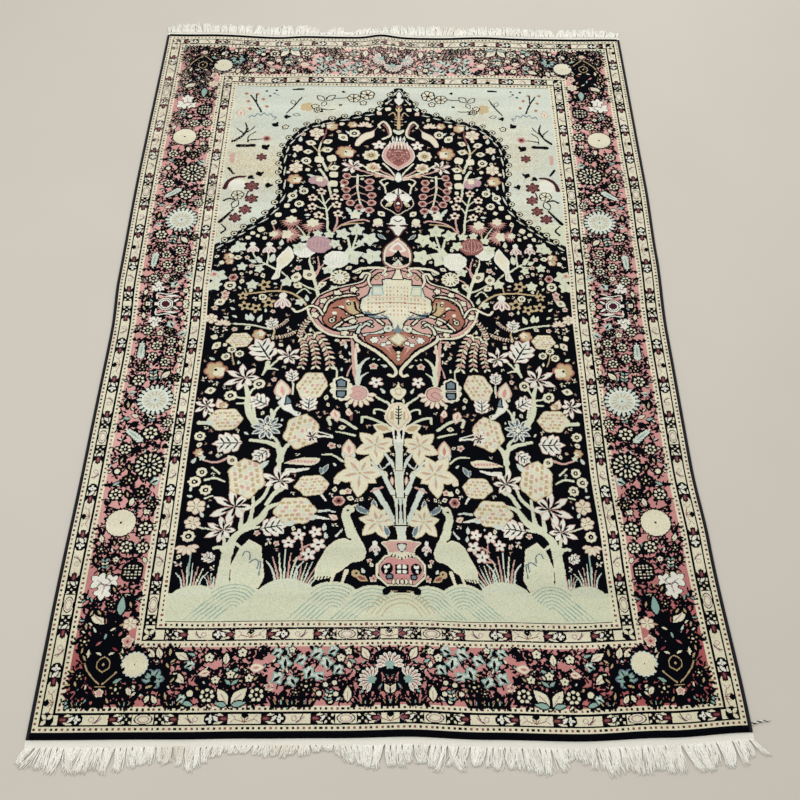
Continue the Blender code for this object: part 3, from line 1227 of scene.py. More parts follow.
def draw_rosette(c: KnotChart) -> None:
    """A cream rosette of eight petals with a dark ring."""
    c.flower(0, 0, 21, 8, IVORY, (TAN, 8.0), notch=0.18)
    c.disc(0, 0, 5.6, BLACK, (TAN, 2.0))


def paint_peony(c: KnotChart, fill: Yarn, line: Yarn) -> None:
    """A full round flower with wavy upright lines.

    Args:
        c: The chart, placed on the flower's middle.
        fill: The yarn of its petals.
        line: The yarn of the lines.
    """
    c.flower(0, 0, 31, 8, (fill, 0), notch=0.08, turn=22)
    for step in range(-3, 4):
        c.stroke(
            ((step * 5, -23 + abs(step) * 3), (step * 9.4, 0), (step * 6, 24 - abs(step) * 3)), 1.8,
            (line, 0)
        )


def draw_lilac_peony(c: KnotChart) -> None:
    """A lilac peony."""
    paint_peony(c, LILAC, PALE_PINK)


def draw_pale_peony(c: KnotChart) -> None:
    """A white peony."""
    paint_peony(c, WHITE, CELADON)


def draw_vine_leaf(c: KnotChart) -> None:
    """A celadon vine leaf."""
    c.flower(0, 0, 21, 5, CELADON, (SAGE, 6.0), notch=0.36, turn=90, sharp=1.3, teeth=2, bite=0.08)
    c.leaf(-1, -8, 14, 2.6, 82, TEAL)


def draw_thistle(c: KnotChart) -> None:
    """A soft thistle: a fan of rose bristles under an ivory cushion."""
    for x, y, turn in round_the(11, 2, turn=182, sweep=196):
        c.leaf(x, y, 27, 6.4, turn, BROWN_ROSE, (PALE_PINK, 1.5), belly=0.35)
    c.flower(0, 4, 14, 6, IVORY, notch=0.26, turn=30)


def draw_bell(c: KnotChart) -> None:
    """A hanging bell flower: a white cap over three pale petals."""
    for turn in (-118, -90, -62):
        c.leaf(0, 10, 38, 14, turn, PALE_PINK, (WHITE, 1.6), (LILAC, 5.0), belly=0.7)
    c.disc(0, 12, 9, WHITE)


def draw_fern(c: KnotChart) -> None:
    """An arched frond of small pale leaflets."""
    path = [(0.006 * y * y, y) for y in (0, 20, 40, 60, 80)]
    c.stroke(path, 2.4, TAN, tip=1.4)
    for step in range(9):
        y = 8 + step * 9
        for side in (-1, 1):
            c.leaf(
                0.006 * y * y, y, 13, 5.2, 90 - 0.7 * y / 1.4 - side * 48,
                (PALE_PINK if step % 2 else IVORY, 0)
            )


def draw_lobed(c: KnotChart) -> None:
    """A big ivory leaf of broad pointed lobes, softly shaded along its veins."""
    lobes = ((2, 50), (66, 44), (128, 50), (196, 52), (266, 56), (322, 40))
    broad_leaf(c, lobes, TAN, IVORY, 1.6)
    for turn, reach in lobes:
        c.at(0, 0, turn).leaf(4, 0, reach * 0.55, 6, 0, TAN, (PALE_PINK, 1.5))
    for _, _, turn in round_the(6, 1, turn=34):
        c.at(0, 0, turn).leaf(3, 0, 20, 3.4, 0, CELADON)


def draw_lily(c: KnotChart) -> None:
    """A spiky lily: white petals with dark hollows."""
    for turn, long in ((90, 34), (40, 30), (142, 36), (350, 28), (196, 38), (245, 30), (300, 24)):
        c.leaf(0, 0, long, 12, turn, PALE_PINK, (WHITE, 1.0), belly=0.6)
    for turn, long in ((90, 22), (40, 18), (142, 24), (350, 16), (196, 24), (245, 18)):
        c.leaf(3, 0, long, 4.4, turn, BLACK, belly=0.55)


def draw_eye_leaf(c: KnotChart) -> None:
    """A short white leaf with a dark eye."""
    c.leaf(-13, 0, 27, 18, 0, IVORY)
    c.disc(1, 0, 3.6, BLACK, (TAN, 1.8))


def draw_oval(c: KnotChart) -> None:
    """A plain white blossom."""
    c.flower(0, 0, 11, 4, IVORY, notch=0.16, turn=40)


def draw_drop(c: KnotChart) -> None:
    """A small celadon drop."""
    c.leaf(0, -8, 17, 8, 90, CELADON, belly=0.35)


def draw_tuft(c: KnotChart) -> None:
    """A tuft of pale blades."""
    for step in range(-3, 4):
        yarn = (CELADON, PALE_PINK, SAGE)[step % 3]
        c.stroke(((step * 4.0, 0), (step * 5.6, 20), (step * 8.4, 50 - abs(step) * 6)), 3.6, yarn, tip=1.6)


def draw_log(c: KnotChart) -> None:
    """A long ivory pod with a ticked rose stripe."""
    c.shape(((-34, -6), (-10, 4), (12, 9), (36, 6), (24, -8), (0, -10)), IVORY)
    for step in range(8):
        c.leaf(-20 + step * 6.4, -5, 8, 5, 70, ROSE)


def draw_slate_leaf(c: KnotChart) -> None:
    """A slate leaf with a pale edge."""
    c.leaf(0, 0, 34, 12, 90, CELADON, (SLATE, 1.6), belly=0.6)


def draw_birdlet(c: KnotChart) -> None:
    """A small tan bird."""
    c.disc(0, 6, 7.5, TAN)
    c.leaf(-2, 4, 26, 12, -30, TAN, (BROWN_ROSE, 3.0))
    c.disc(1, 7, 2.2, BLACK)


def draw_mallow(c: KnotChart) -> None:
    """A pale mallow of six petals."""
    c.flower(0, 0, 17, 6, PALE_PINK, (IVORY, 1.6), notch=0.26, turn=30)
    for x, y, _ in round_the(6, 3, turn=60):
        c.stroke(((x, y), (x * 3.4, y * 3.4)), 1.4, BROWN_ROSE)


def draw_skirt(c: KnotChart) -> None:
    """A half daisy whose petals hang."""
    for turn in (192, 220, 250, 282, 312, 344):
        c.leaf(0, 0, 24, 9, turn, PALE_PINK, (IVORY, 1.4), belly=0.7)
    c.disc(0, 2, 4.4, BLACK)


def draw_five(c: KnotChart) -> None:
    """A flower of five parted white petals edged with pink."""
    c.flower(0, 0, 14.5, 5, PALE_PINK, (WHITE, 1.8), notch=0.52, turn=90)
    c.disc(0, 0, 2.6, MAROON)


def draw_point_star(c: KnotChart) -> None:
    """A tan star of five points round a dark heart."""
    c.flower(0, 0, 15, 5, TAN, notch=0.5, turn=90, sharp=2.0)
    c.disc(0, 0, 5.0, BLACK)


def draw_water_lily(c: KnotChart) -> None:
    """A white star of many petals over slate ones."""
    for x, y, turn in round_the(9, 6, turn=90):
        c.leaf(x, y, 27, 12, turn, WHITE, (SLATE, 2.6), (BLACK, 5.0), belly=0.55)
    c.disc(0, 0, 6, WHITE)


def draw_peach(c: KnotChart) -> None:
    """A peach flower with an ivory side and a dark eye."""
    c.flower(0, 0, 22, 6, TERRACOTTA, (TAN, 3.4), notch=0.2, turn=10)
    c.flower(7, -3, 12, 4, IVORY, notch=0.3, turn=40)
    c.disc(1, 1, 2.8, BLACK)


def draw_plum(c: KnotChart) -> None:
    """A maroon flower with veined petals."""
    c.flower(0, 0, 17.5, 6, MAROON, (BROWN_ROSE, 5.0), notch=0.4, turn=90)
    for x, y, _ in round_the(6, 1):
        c.stroke(((x, y), (13 * x, 13 * y)), 1.6, MAROON)


def draw_outlined_wheel(c: KnotChart) -> None:
    """A white flower drawn in dark lines, for a pale ground."""
    c.flower(0, 0, 18.6, 6, BLACK, (IVORY, 3.0), notch=0.12)
    for x, y, _ in round_the(6, 1, turn=30):
        c.stroke(((3 * x, 3 * y), (17 * x, 17 * y)), 2.4, BLACK)
    c.disc(0, 0, 4.0, BLACK)


def draw_outlined_leaf(c: KnotChart) -> None:
    """A pale leaf drawn in a thin dark line, for a pale ground."""
    c.leaf(0, 0, 26, 13, 90, *edged(CELADON, width=3.0))


def draw_berry_stalk(c: KnotChart) -> None:
    """A black bar with rounded ends."""
    c.stroke(((-12, 0), (12, 1)), 7, BLACK, smooth=False)


DRAWN: dict[Motif, Callable[[KnotChart], None]] = {
    Motif.WHEEL: draw_wheel, Motif.FLORET: draw_floret, Motif.BLOSSOM: draw_blossom,
    Motif.BERRY: draw_berry, Motif.LEAF: draw_leaf, Motif.DARK_LEAF: draw_dark_leaf,
    Motif.TEAL_LEAF: draw_teal_leaf, Motif.DISC: draw_disc, Motif.SAW: draw_saw, Motif.SUN: draw_sun,
    Motif.BLOT: draw_blot, Motif.TEAL_FLOWER: draw_teal_flower, Motif.PALMETTE: draw_palmette,
    Motif.GRASS: draw_grass, Motif.FEATHER: draw_feather, Motif.COMB: draw_comb,
    Motif.CLUSTER: draw_cluster, Motif.STAR: draw_star, Motif.ARROW: draw_arrow, Motif.RING: draw_ring,
    Motif.MAPLE: draw_maple, Motif.BLOOM: draw_bloom, Motif.BUD: draw_bud, Motif.SPRIG: draw_sprig,
    Motif.TWIG: draw_twig, Motif.CURL: draw_curl, Motif.PINK: draw_pink, Motif.STARLET: draw_starlet,
    Motif.CHERRY: draw_cherry, Motif.DAISY: draw_daisy, Motif.ROSETTE: draw_rosette,
    Motif.LILAC_PEONY: draw_lilac_peony, Motif.PALE_PEONY: draw_pale_peony, Motif.VINE_LEAF: draw_vine_leaf,
    Motif.THISTLE: draw_thistle, Motif.BELL: draw_bell, Motif.FERN: draw_fern, Motif.LOBED: draw_lobed,
    Motif.LILY: draw_lily, Motif.EYE_LEAF: draw_eye_leaf, Motif.OVAL: draw_oval, Motif.DROP: draw_drop,
    Motif.TUFT: draw_tuft, Motif.LOG: draw_log, Motif.SLATE_LEAF: draw_slate_leaf,
    Motif.BIRDLET: draw_birdlet, Motif.MALLOW: draw_mallow, Motif.SKIRT: draw_skirt, Motif.FIVE: draw_five,
    Motif.POINT_STAR: draw_point_star, Motif.WATER_LILY: draw_water_lily, Motif.PEACH: draw_peach,
    Motif.PLUM: draw_plum, Motif.OUTLINED_WHEEL: draw_outlined_wheel,
    Motif.OUTLINED_LEAF: draw_outlined_leaf, Motif.BERRY_STALK: draw_berry_stalk,
}


@dataclass(frozen=True)
class Spot:
    """Where a motif stands, in millimetres, with its turn in degrees and its scale."""

    motif: Motif
    x: float
    y: float
    turn: float = 0.0
    size: float = 1.0


def spots(*groups: tuple) -> tuple[Spot, ...]:
    """Reads a table of spots: a motif in each row, and after it its places, each with its turn and scale."""
    return tuple(Spot(motif, *place) for motif, *places in groups for place in places)


@dataclass(frozen=True)
class BorderPlan:
    """The depths of the border's stripes from the rug's edge, in millimetres, at its sides and its ends."""

    side_outer: float = 7.0
    side_guard: float = 19.5
    side_second: float = 46.0
    side_main: float = 59.0
    side_inner: float = 173.0
    side_inner_guard: float = 185.5
    side_last: float = 211.0
    side_field: float = 226.0
    end_outer: float = 12.0
    end_guard: float = 22.5
    end_second: float = 48.0
    end_main: float = 58.0
    end_inner: float = 174.0
    end_inner_guard: float = 186.5
    end_last: float = 213.5
    end_field: float = 226.0


PLAN = BorderPlan()

# A guard stripe's motifs from a round cartouche to the next fan's middle, as shares of half the repeat.
GUARD_STEPS = (
    ("round", 0.0), ("floret", 0.165), ("leaf", 0.24), ("tulip", 0.30), ("scroll", 0.48), ("cross", 0.66),
    ("leaf", 0.72), ("tulip", 0.79), ("fan", 1.0),
)

# The near half of the left side's main border, in the flattened rug's millimetres from its axis and near end.
SIDE_SPOTS = spots(
    (Motif.MALLOW, (-505, 222, 0, 0.85)), (Motif.PINK, (-505, 186, 0, 1.3)),
    (Motif.LEAF, (-556, 222, 50, 1.5)), (Motif.TEAL_LEAF, (-527, 240, 0, 1.35)),
    (Motif.DARK_LEAF, (-560, 236, 40), (-588, 232, -20)), (Motif.FLORET, (-548, 262, 0, 0.8)),
    (Motif.DARK_LEAF, (-505, 250, 20)), (Motif.STAR, (-567, 303)), (Motif.ARROW, (-498, 275, -20)),
    (Motif.DARK_LEAF, (-540, 283, 30)), (Motif.COMB, (-517, 333)), (Motif.SPRIG, (-572, 336, 8, 0.8)),
    (Motif.DARK_LEAF, (-592, 345, 10)), (Motif.BLOSSOM, (-554, 360, 0, 0.7)),
    (Motif.LEAF, (-492, 352, 30, 0.6)), (Motif.FLORET, (-588, 383, 0, 0.8)),
    (Motif.LEAF, (-588, 398, 20, 0.7)), (Motif.WHEEL, (-538, 388), (-505, 386, 0, 0.95)),
    (Motif.DARK_LEAF, (-560, 388, 20, 0.8)), (Motif.DISC, (-558, 443)), (Motif.WHEEL, (-506, 430, 0, 1.12)),
    (Motif.BLOSSOM, (-508, 470, 0, 0.8)), (Motif.ARROW, (-590, 480, 30)),
    (Motif.LEAF, (-545, 482, -10, 0.8)), (Motif.FLORET, (-500, 486, 0, 0.9)), (Motif.WHEEL, (-580, 510)),
    (Motif.FLORET, (-526, 516, 0, 1.1)), (Motif.DARK_LEAF, (-550, 498, 20)),
    (Motif.FLORET, (-556, 545, 0, 1.1)), (Motif.TEAL_LEAF, (-590, 532, -60, 0.6)),
    (Motif.BLOT, (-500, 543, 0, 0.9)), (Motif.DARK_LEAF, (-527, 540, 10, 0.8)),
    (Motif.BERRY, (-586, 566, 0, 1.3)), (Motif.CLUSTER, (-520, 582)),
    (Motif.DARK_LEAF, (-560, 566, 10), (-585, 582, -20)), (Motif.WHEEL, (-577, 622)),
    (Motif.ARROW, (-548, 615, 20), (-497, 622, -30)), (Motif.FEATHER, (-540, 640, 52, 0.95)),
    (Motif.WHEEL, (-528, 664, 0, 1.25)), (Motif.FLORET, (-494, 655, 0, 0.9)),
    (Motif.WHEEL, (-494, 692, 0, 0.8)), (Motif.LEAF, (-560, 705, 70, 0.7)),
    (Motif.SPRIG, (-532, 690, -10, 0.8)), (Motif.TEAL_LEAF, (-578, 700, 80, 0.6)), (Motif.SAW, (-530, 752)),
    (Motif.DARK_LEAF, (-586, 722, 8, 1.3)), (Motif.BLOT, (-585, 770, 0, 0.6)),
    (Motif.WHEEL, (-575, 805, 0, 1.05)), (Motif.LEAF, (-524, 812, -42)),
    (Motif.FLORET, (-492, 812, 0, 0.8)), (Motif.LEAF, (-490, 826, -10, 0.6)),
    (Motif.FLORET, (-572, 842, 0, 0.9)), (Motif.SPRIG, (-541, 802, 8, 0.95)),
    (Motif.WHEEL, (-522, 858, 0, 0.9), (-554, 872, 0, 0.9), (-512, 888, 0, 0.9), (-547, 905, 0, 0.95),
     (-516, 918, 0, 0.9)),
    (Motif.BLOSSOM, (-489, 864, 0, 0.8)), (Motif.FEATHER, (-580, 862, 3, 0.95)),
    (Motif.DARK_LEAF, (-490, 884, 10)), (Motif.LEAF, (-492, 904, 10, 0.7)),
    (Motif.BLOT, (-492, 940, 0, 0.9)), (Motif.WHEEL, (-576, 950, 0, 0.95)),
    (Motif.BLOSSOM, (-545, 942, 0, 0.9)), (Motif.FLORET, (-524, 950, 0, 0.8)),
    (Motif.STAR, (-560, 976, 0, 0.6)), (Motif.BLOT, (-522, 968, 90, 0.9)),
    (Motif.LEAF, (-588, 985, 10, 0.7)), (Motif.BLOSSOM, (-494, 988, 0, 0.8)),
    (Motif.DARK_LEAF, (-586, 1004, 20)), (Motif.BLOSSOM, (-582, 1030, 0, 0.8), (-492, 1024, 0, 0.8)),
)

# The left half of the near main border, from the same places.
END_SPOTS = spots(
    (Motif.PALMETTE, (28, 136), (-8, 108, 68, 0.95)), (Motif.GRASS, (28, 60)),
    (Motif.LEAF, (30, 80, 34, 0.9), (30, 80, -34, 0.9)), (Motif.GRASS, (-20, 60, 0, 0.9)),
    (Motif.LEAF, (-14, 148, 28, 1.05)), (Motif.BLOSSOM, (-54, 165, 0, 0.8)),
    (Motif.DARK_LEAF, (-35, 158, 40, 0.7)), (Motif.BLOSSOM, (-70, 152, 0, 0.9)),
    (Motif.LEAF, (-52, 130, 10, 0.6)), (Motif.TEAL_LEAF, (-40, 142, 60, 0.5)),
    (Motif.LEAF, (-56, 66, 0, 1.15)),
    (Motif.BERRY, (-112, 82), (-90, 68, 0, 1.1), (-79, 81), (-100, 99), (-82, 103)),
    (Motif.SPRIG, (-96, 64, -10, 0.8)), (Motif.FLORET, (-138, 96, 0, 1.1)), (Motif.GRASS, (-140, 60)),
    (Motif.BLOT, (-75, 128, 20, 0.9), (-98, 142, 70, 1.1), (-118, 160, 0, 1.1), (-133, 122, 40, 1.1),
     (-112, 116, 120, 0.9), (-150, 148), (-86, 166, 0, 0.9), (-182, 142, 60, 1.1), (-196, 112, 10, 1.1),
     (-166, 106, 90), (-198, 162, 0, 0.9), (-172, 168, 50, 0.8)),
    (Motif.BLOSSOM, (-168, 168, 0, 0.7)), (Motif.GRASS, (-186, 60, 0, 1.1), (-165, 60, 0, 0.8)),
    (Motif.PINK, (-212, 96, 0, 0.9)), (Motif.FLORET, (-158, 84, 0, 0.7)),
    (Motif.WHEEL, (-235, 80, 0, 1.1), (-332, 80, 0, 1.1)),
    (Motif.LEAF, (-284, 62, -42, 1.6), (-290, 62, 34, 1.4)),
    (Motif.TEAL_LEAF, (-282, 60, -78, 0.9), (-292, 60, 78, 0.8)), (Motif.SPRIG, (-286, 92, 0, 1.3)),
    (Motif.BLOSSOM, (-318, 110, 0, 0.9), (-289, 120, 0, 0.9), (-252, 112, 0, 0.9)),
    (Motif.BUD, (-334, 124, 100), (-248, 132, -86, 1.3)), (Motif.BLOSSOM, (-334, 154), (-268, 163)),
    (Motif.LEAF, (-300, 140, 0, 0.9)),
    (Motif.ARROW, (-232, 100, -40, 1.2), (-344, 98, 40, 1.2), (-244, 152, -60, 1.2), (-220, 158, 20, 1.2),
     (-308, 160, 60)),
    (Motif.LEAF, (-376, 150, 62, 1.15)), (Motif.DARK_LEAF, (-414, 150, 0, 1.2)),
    (Motif.LEAF, (-432, 152, 18, 0.9), (-446, 152, 30, 0.9)), (Motif.TEAL_LEAF, (-362, 158, 75, 0.5)),
    (Motif.LEAF, (-380, 104, 48, 1.15)), (Motif.BLOT, (-372, 138, 0, 0.8)),
    (Motif.BERRY, (-366, 84, 0, 1.3)), (Motif.TEAL_LEAF, (-358, 62, 76, 0.8)), (Motif.GRASS, (-398, 60)),
    (Motif.BLOT, (-382, 74, 0, 0.7)), (Motif.TEAL_FLOWER, (-442, 112)),
    (Motif.DARK_LEAF, (-410, 128, 30), (-412, 100, -40)),
    (Motif.LEAF, (-430, 64, 30, 0.7), (-452, 66, -20, 0.6)), (Motif.DARK_LEAF, (-410, 66, 16, 1.1)),
    (Motif.SUN, (-482, 140)), (Motif.FLORET, (-513, 92, 0, 1.15)), (Motif.LEAF, (-482, 80, 30, 0.7)),
    (Motif.TEAL_LEAF, (-520, 104, -60, 0.6)), (Motif.GRASS, (-492, 60, 0, 0.8)),
    (Motif.DARK_LEAF, (-462, 92, -70, 1.1), (-590, 92, 20)), (Motif.FLORET, (-588, 118, 0, 0.8)),
    (Motif.DARK_LEAF, (-578, 142, 30), (-594, 156, -10)), (Motif.GRASS, (-585, 60, 0, 0.8)),
    (Motif.DARK_LEAF, (-520, 60, 30)), (Motif.FLORET, (-590, 186)), (Motif.ARROW, (-505, 120, 30)),
    (Motif.DARK_LEAF, (-590, 204, 10)),
)


@dataclass
class RugBorder:
    """The border: dotted stripes, guard stripes of cartouches, and the main border of plants on rose."""

    chart: KnotChart
    plan: BorderPlan = PLAN
    dot_pitch: float = 10.2
    dot: float = 4.6
    guard_half: float = 9.8
    side_repeat: float = 391.0
    side_round_at: float = 262.0
    end_repeat: float = 370.0
    leaf_pitch: float = 13.0
    stem_reach: float = 46.0
    seed: int = 23

    def stripes(self) -> None:
        """Paints the stripes as frames, each inside the last."""
        plan, chart = self.plan, self.chart
        half, length = chart.width_mm / 2, chart.length_mm
        for side, end, yarn in (
            (0.0, 0.0, BLACK),
            (plan.side_outer, plan.end_outer, IVORY),
            (plan.side_guard, plan.end_guard, BLACK),
            (plan.side_guard + 3.4, plan.end_guard + 3.6, IVORY),
            (plan.side_second - 3.8, plan.end_second - 3.6, BLACK),
            (plan.side_second, plan.end_second, IVORY),
            (plan.side_main, plan.end_main, ROSE),
            (plan.side_inner, plan.end_inner, IVORY),
            (plan.side_inner_guard, plan.end_inner_guard, BLACK),
            (plan.side_inner_guard + 3.8, plan.end_inner_guard + 3.8, IVORY),
            (plan.side_last - 3.8, plan.end_last - 3.8, BLACK),
            (plan.side_last, plan.end_last, IVORY),
            (plan.side_field, plan.end_field, BLACK),
        ):
            chart.rectangle(-half + side, end, half - side, length - end, (yarn, 0.0))

    def dots(self) -> None:
        """Paints the dots of the four narrow stripes in the near left quarter."""
        plan, chart = self.plan, self.chart
        half, middle = chart.width_mm / 2, chart.length_mm / 2
        rng = np.random.default_rng(self.seed)
        shades = (BROWN_ROSE, MAROON, BROWN_ROSE, BLACK, MAROON)
        for side, end in (
            ((plan.side_outer + plan.side_guard) / 2, (plan.end_outer + plan.end_guard) / 2),
            ((plan.side_second + plan.side_main) / 2, (plan.end_second + plan.end_main) / 2),
            ((plan.side_inner + plan.side_inner_guard) / 2, (plan.end_inner + plan.end_inner_guard) / 2),
            ((plan.side_last + plan.side_field) / 2, (plan.end_last + plan.end_field) / 2),
        ):
            places = [(side - half, y) for y in np.arange(end, middle + 1, self.dot_pitch)]
            places += [(x, end) for x in np.arange(side - half + self.dot_pitch, 1, self.dot_pitch)]
            for x, y in places:
                wide, tall = self.dot * rng.uniform(0.42, 0.56, 2)
                chart.rectangle(
                    x - wide, y - tall, x + wide, y + tall, (shades[rng.integers(len(shades))], 0.0)
                )

    def guard_motif(self, c: KnotChart, kind: str) -> None:
        """Paints one motif of a guard stripe, which runs along the chart's own x.

        Args:
            c: The chart, placed on the stripe's middle line.
            kind: Which motif.
        """
        deep = self.guard_half
        if kind == "round":
            c.disc(0, 0, 15, (BLACK, -2.4), IVORY, (LILAC, 3.4), (IVORY, 6.2), squash=0.56)
        elif kind == "floret":
            c.rectangle(-11, -deep, 11, deep, BLACK)
            for x, y, turn in round_the(4, 3.4, 45):
                c.leaf(x, y, 9.5, 5.0, turn, IVORY)
            c.flower(0, 0, 8.4, 4, BLACK, notch=0.35, turn=0)
            c.disc(0, 0, 1.9, IVORY)
        elif kind == "cross":
            c.disc(0, 0, 12, BLACK, squash=0.88)
            c.flower(0, 0, 8.0, 4, WHITE, notch=0.62, turn=0)
            c.disc(0, 0, 1.4, BLACK)
        elif kind == "tulip":
            c.rectangle(-9, -deep, 9, deep, BLACK)
            c.leaf(-9, 0, 19, 12, 0, (BLACK, -1.5), MAROON, (BROWN_ROSE, 3.2), belly=0.4)
            for side in (-1, 1):
                c.leaf(12, side * 8.5, 12, 4.5, 180 + side * 14, IVORY)
        elif kind == "leaf":
            c.leaf(-7, -5.5, 18, 7.0, 38, *edged(WHITE, width=2.6))
        elif kind == "scroll":
            c.disc(-6, 0, 5.2, LILAC, (IVORY, 1.6))
            c.stroke(((-2, -7), (5, -2), (9, 7)), 2.0, MAROON)
            c.stroke(((2, -7), (12, 3)), 2.0, LILAC)
        elif kind == "fan":
            for turn in (18, 52, 90, 128, 162):
                reach = 9 / max(0.45, math.sin(math.radians(turn)))
                c.stroke(((0, -7), (reach * math.cos(math.radians(turn)),
                                    -7 + reach * math.sin(math.radians(turn)))),
                         1.5, (BROWN_ROSE if turn % 36 else LILAC, 0), smooth=False)
            c.leaf(0, deep + 2, 12, 14, -90, BLACK)
            c.stroke(((-26, -7), (-17, 1), (-24, 7)), 1.5, LILAC)
            c.stroke(((26, -7), (17, 1), (24, 7)), 1.5, LILAC)

    def guards(self) -> None:
        """Paints both guard stripes in the near left quarter."""
        plan = self.plan
        half, middle = self.chart.width_mm / 2, self.chart.length_mm / 2
        for side, end, far_x in (
            ((plan.side_guard + plan.side_second) / 2 - 0.3, (plan.end_guard + plan.end_second) / 2,
             -half + 44),
            ((plan.side_inner_guard + plan.side_last) / 2, (plan.end_inner_guard + plan.end_last) / 2,
             -half + 216),
        ):
            for repeat in range(-1, 7):
                centre = self.side_round_at + self.side_repeat * (
                    repeat / 2 if repeat % 2 == 0 else (repeat + 1) / 2
                )
                for kind, share in GUARD_STEPS:
                    y = centre + (-share if repeat % 2 else share) * self.side_repeat / 2
                    if end + 26 < y < middle + 8:
                        self.guard_motif(self.chart.at(side - half, y, 90, flip=bool(repeat % 2)), kind)
            for repeat in range(-1, 7):
                centre = -self.end_repeat * (0.22 + (repeat // 2 if repeat % 2 == 0 else (repeat + 1) // 2))
                for kind, share in GUARD_STEPS:
                    x = centre + (share if repeat % 2 else -share) * self.end_repeat / 2
                    if far_x < x < (-30 if repeat % 2 == 0 else -8):
                        self.guard_motif(self.chart.at(x, end, 0, flip=bool(repeat % 2)), kind)
            self.guard_motif(self.chart.at(0, end), "fan")
            corner = self.chart.at(side - half, end, 45)
            corner.disc(0, 0, 13, BLACK)
            for turn in (0, 90, 180):
                corner.leaf(0, 0, 15, 7, turn, *edged(IVORY, width=1.4))

    def urn(self, c: KnotChart) -> None:
        """Paints the dark urn with thin handles on the chart's origin, under a mass of dark leaves."""
        c.shape(((-12, 0), (12, 0), (8, 30), (20, 46), (38, 74), (41, 104), (32, 128), (36, 158),
                 (16, 184), (-12, 182), (-36, 158), (-30, 128), (-41, 104), (-38, 74), (-20, 46),
                 (-8, 30)), BLACK)
        c.flower(0, 27, 8.5, 5, IVORY, (PALE_PINK, 2.2), notch=0.3, turn=90)
        c.rectangle(-10, 38, 10, 40.6, TAN)
        for side in (-1, 1):
            c.stroke(((side * 3, 44), (side * 16, 56), (side * 31, 74), (side * 36, 92), (side * 28, 104)),
                     2.4,
                     TAN)
            c.leaf(side * 34, 88, 26, 6, 90 + side * 6, IVORY)
            c.leaf(side * 6, 101, 13, 5, 90 - side * 64, IVORY)
        c.shape(
            ((0, 66), (11, 74), (13, 82), (11, 90), (0, 98), (-11, 90), (-13, 82), (-11, 74)), TAN,
            (BLACK, 2.0)
        )
        c.disc(0, 82, 2.4, TAN)
        for x, y, turn, yarn in ((-20, 120, 40, ROSE), (12, 116, -30, DEEP_ROSE), (-6, 132, 80, TEAL),
                                 (20, 138, 60, ROSE), (-24, 146, 120, CELADON), (2, 150, 30, IVORY),
                                 (-8, 164, 100, ROSE), (18, 160, 20, TAN)):
            c.leaf(x, y, 13, 4.4, turn, yarn)

    def side_vase(self, c: KnotChart) -> None:
        """Paints the small vase at the middle of the side, which points along the chart's own y."""
        for side in (-1, 1):
            c.stroke(
                ((side * 10, -24), (side * 34, -26), (side * 28, 4), (side * 34, 30)), 13, BLACK, tip=7
            )
            c.stroke(
                ((side * 16, -22), (side * 33, -20), (side * 30, 4), (side * 40, 26)), 3.4, WHITE, tip=2
            )
            c.leaf(side * 24, -2, 32, 7, 90 - side * 4, WHITE)
            c.leaf(side * 8, 18, 16, 6, 90 - side * 30, WHITE)
        c.flower(
            0, 0, 19, 8, (BLACK, -2.2), WHITE, (BLACK, 3.2), (WHITE, 5.2), (MAROON, 8.6), notch=0.07,
            turn=22.5
        )
        c.rectangle(-4.5, -26, 4.5, -18, WHITE)

    def stems(self, places: Sequence[Place]) -> None:
        """Links plants that stand near each other in the list with thin black stems.

        Args:
            places: Where the plants stand.
        """
        for (ax, ay), (bx, by) in zip(places, places[1:]):
            if math.hypot(bx - ax, by - ay) < self.stem_reach:
                bend = 0.16 * (by - ay), -0.16 * (bx - ax)
                self.chart.stroke(((ax, ay), ((ax + bx) / 2 + bend[0], (ay + by) / 2 + bend[1]), (bx, by)),
                                  3.8,
                                  BLACK)

    def thicket(self) -> None:
        """Strews the near left quarter's rose ground with dark leaves, most of all near the corner."""
        rng = np.random.default_rng(self.seed + 1)
        plan, half, middle = self.plan, self.chart.width_mm / 2, self.chart.length_mm / 2
        left, right = plan.side_main - half, plan.side_inner - half
        places = [(x, y) for y in np.arange(plan.end_main + 6, middle, self.leaf_pitch)
                  for x in np.arange(left + 6, right - 2, self.leaf_pitch)]
        places += [(x, y) for y in np.arange(plan.end_main + 6, plan.end_inner - 4, self.leaf_pitch)
                   for x in np.arange(right + 4, 4, self.leaf_pitch)]
        for x, y in places:
            x, y = x + rng.normal(0, 2.4), y + rng.normal(0, 2.4)
            if left + 4 < x and y > plan.end_main + 4 and (x < right - 4 or y < plan.end_inner - 4):
                corner = math.exp(-((x - left) ** 2 + (y - plan.end_main) ** 2) / 200**2)
                low = math.exp(-(((y - plan.end_main) / 110) ** 2))
                if rng.random() < 0.66 + 0.3 * corner + 0.2 * low:
                    leaf = self.chart.at(x, y, rng.uniform(0, 360), 1.16 + 0.20 * corner + 0.06 * low)
                    leaf.stroke(((-9, -2), (0, 1), (8, 0)), 2.6, BLACK)
                    leaf.leaf(-2, 0, 12, rng.uniform(6.0, 8.0), rng.uniform(20, 60), BLACK)
                    leaf.leaf(-3, 0, 10, 5.6, rng.uniform(-70, -30), BLACK)
                    if rng.random() < 0.42:
                        sliver = (TAN, IVORY, CELADON, TEAL, PALE_PINK)[rng.integers(5)]
                        leaf.leaf(-1, 1, 9, 3.0, 40, (sliver, 0))

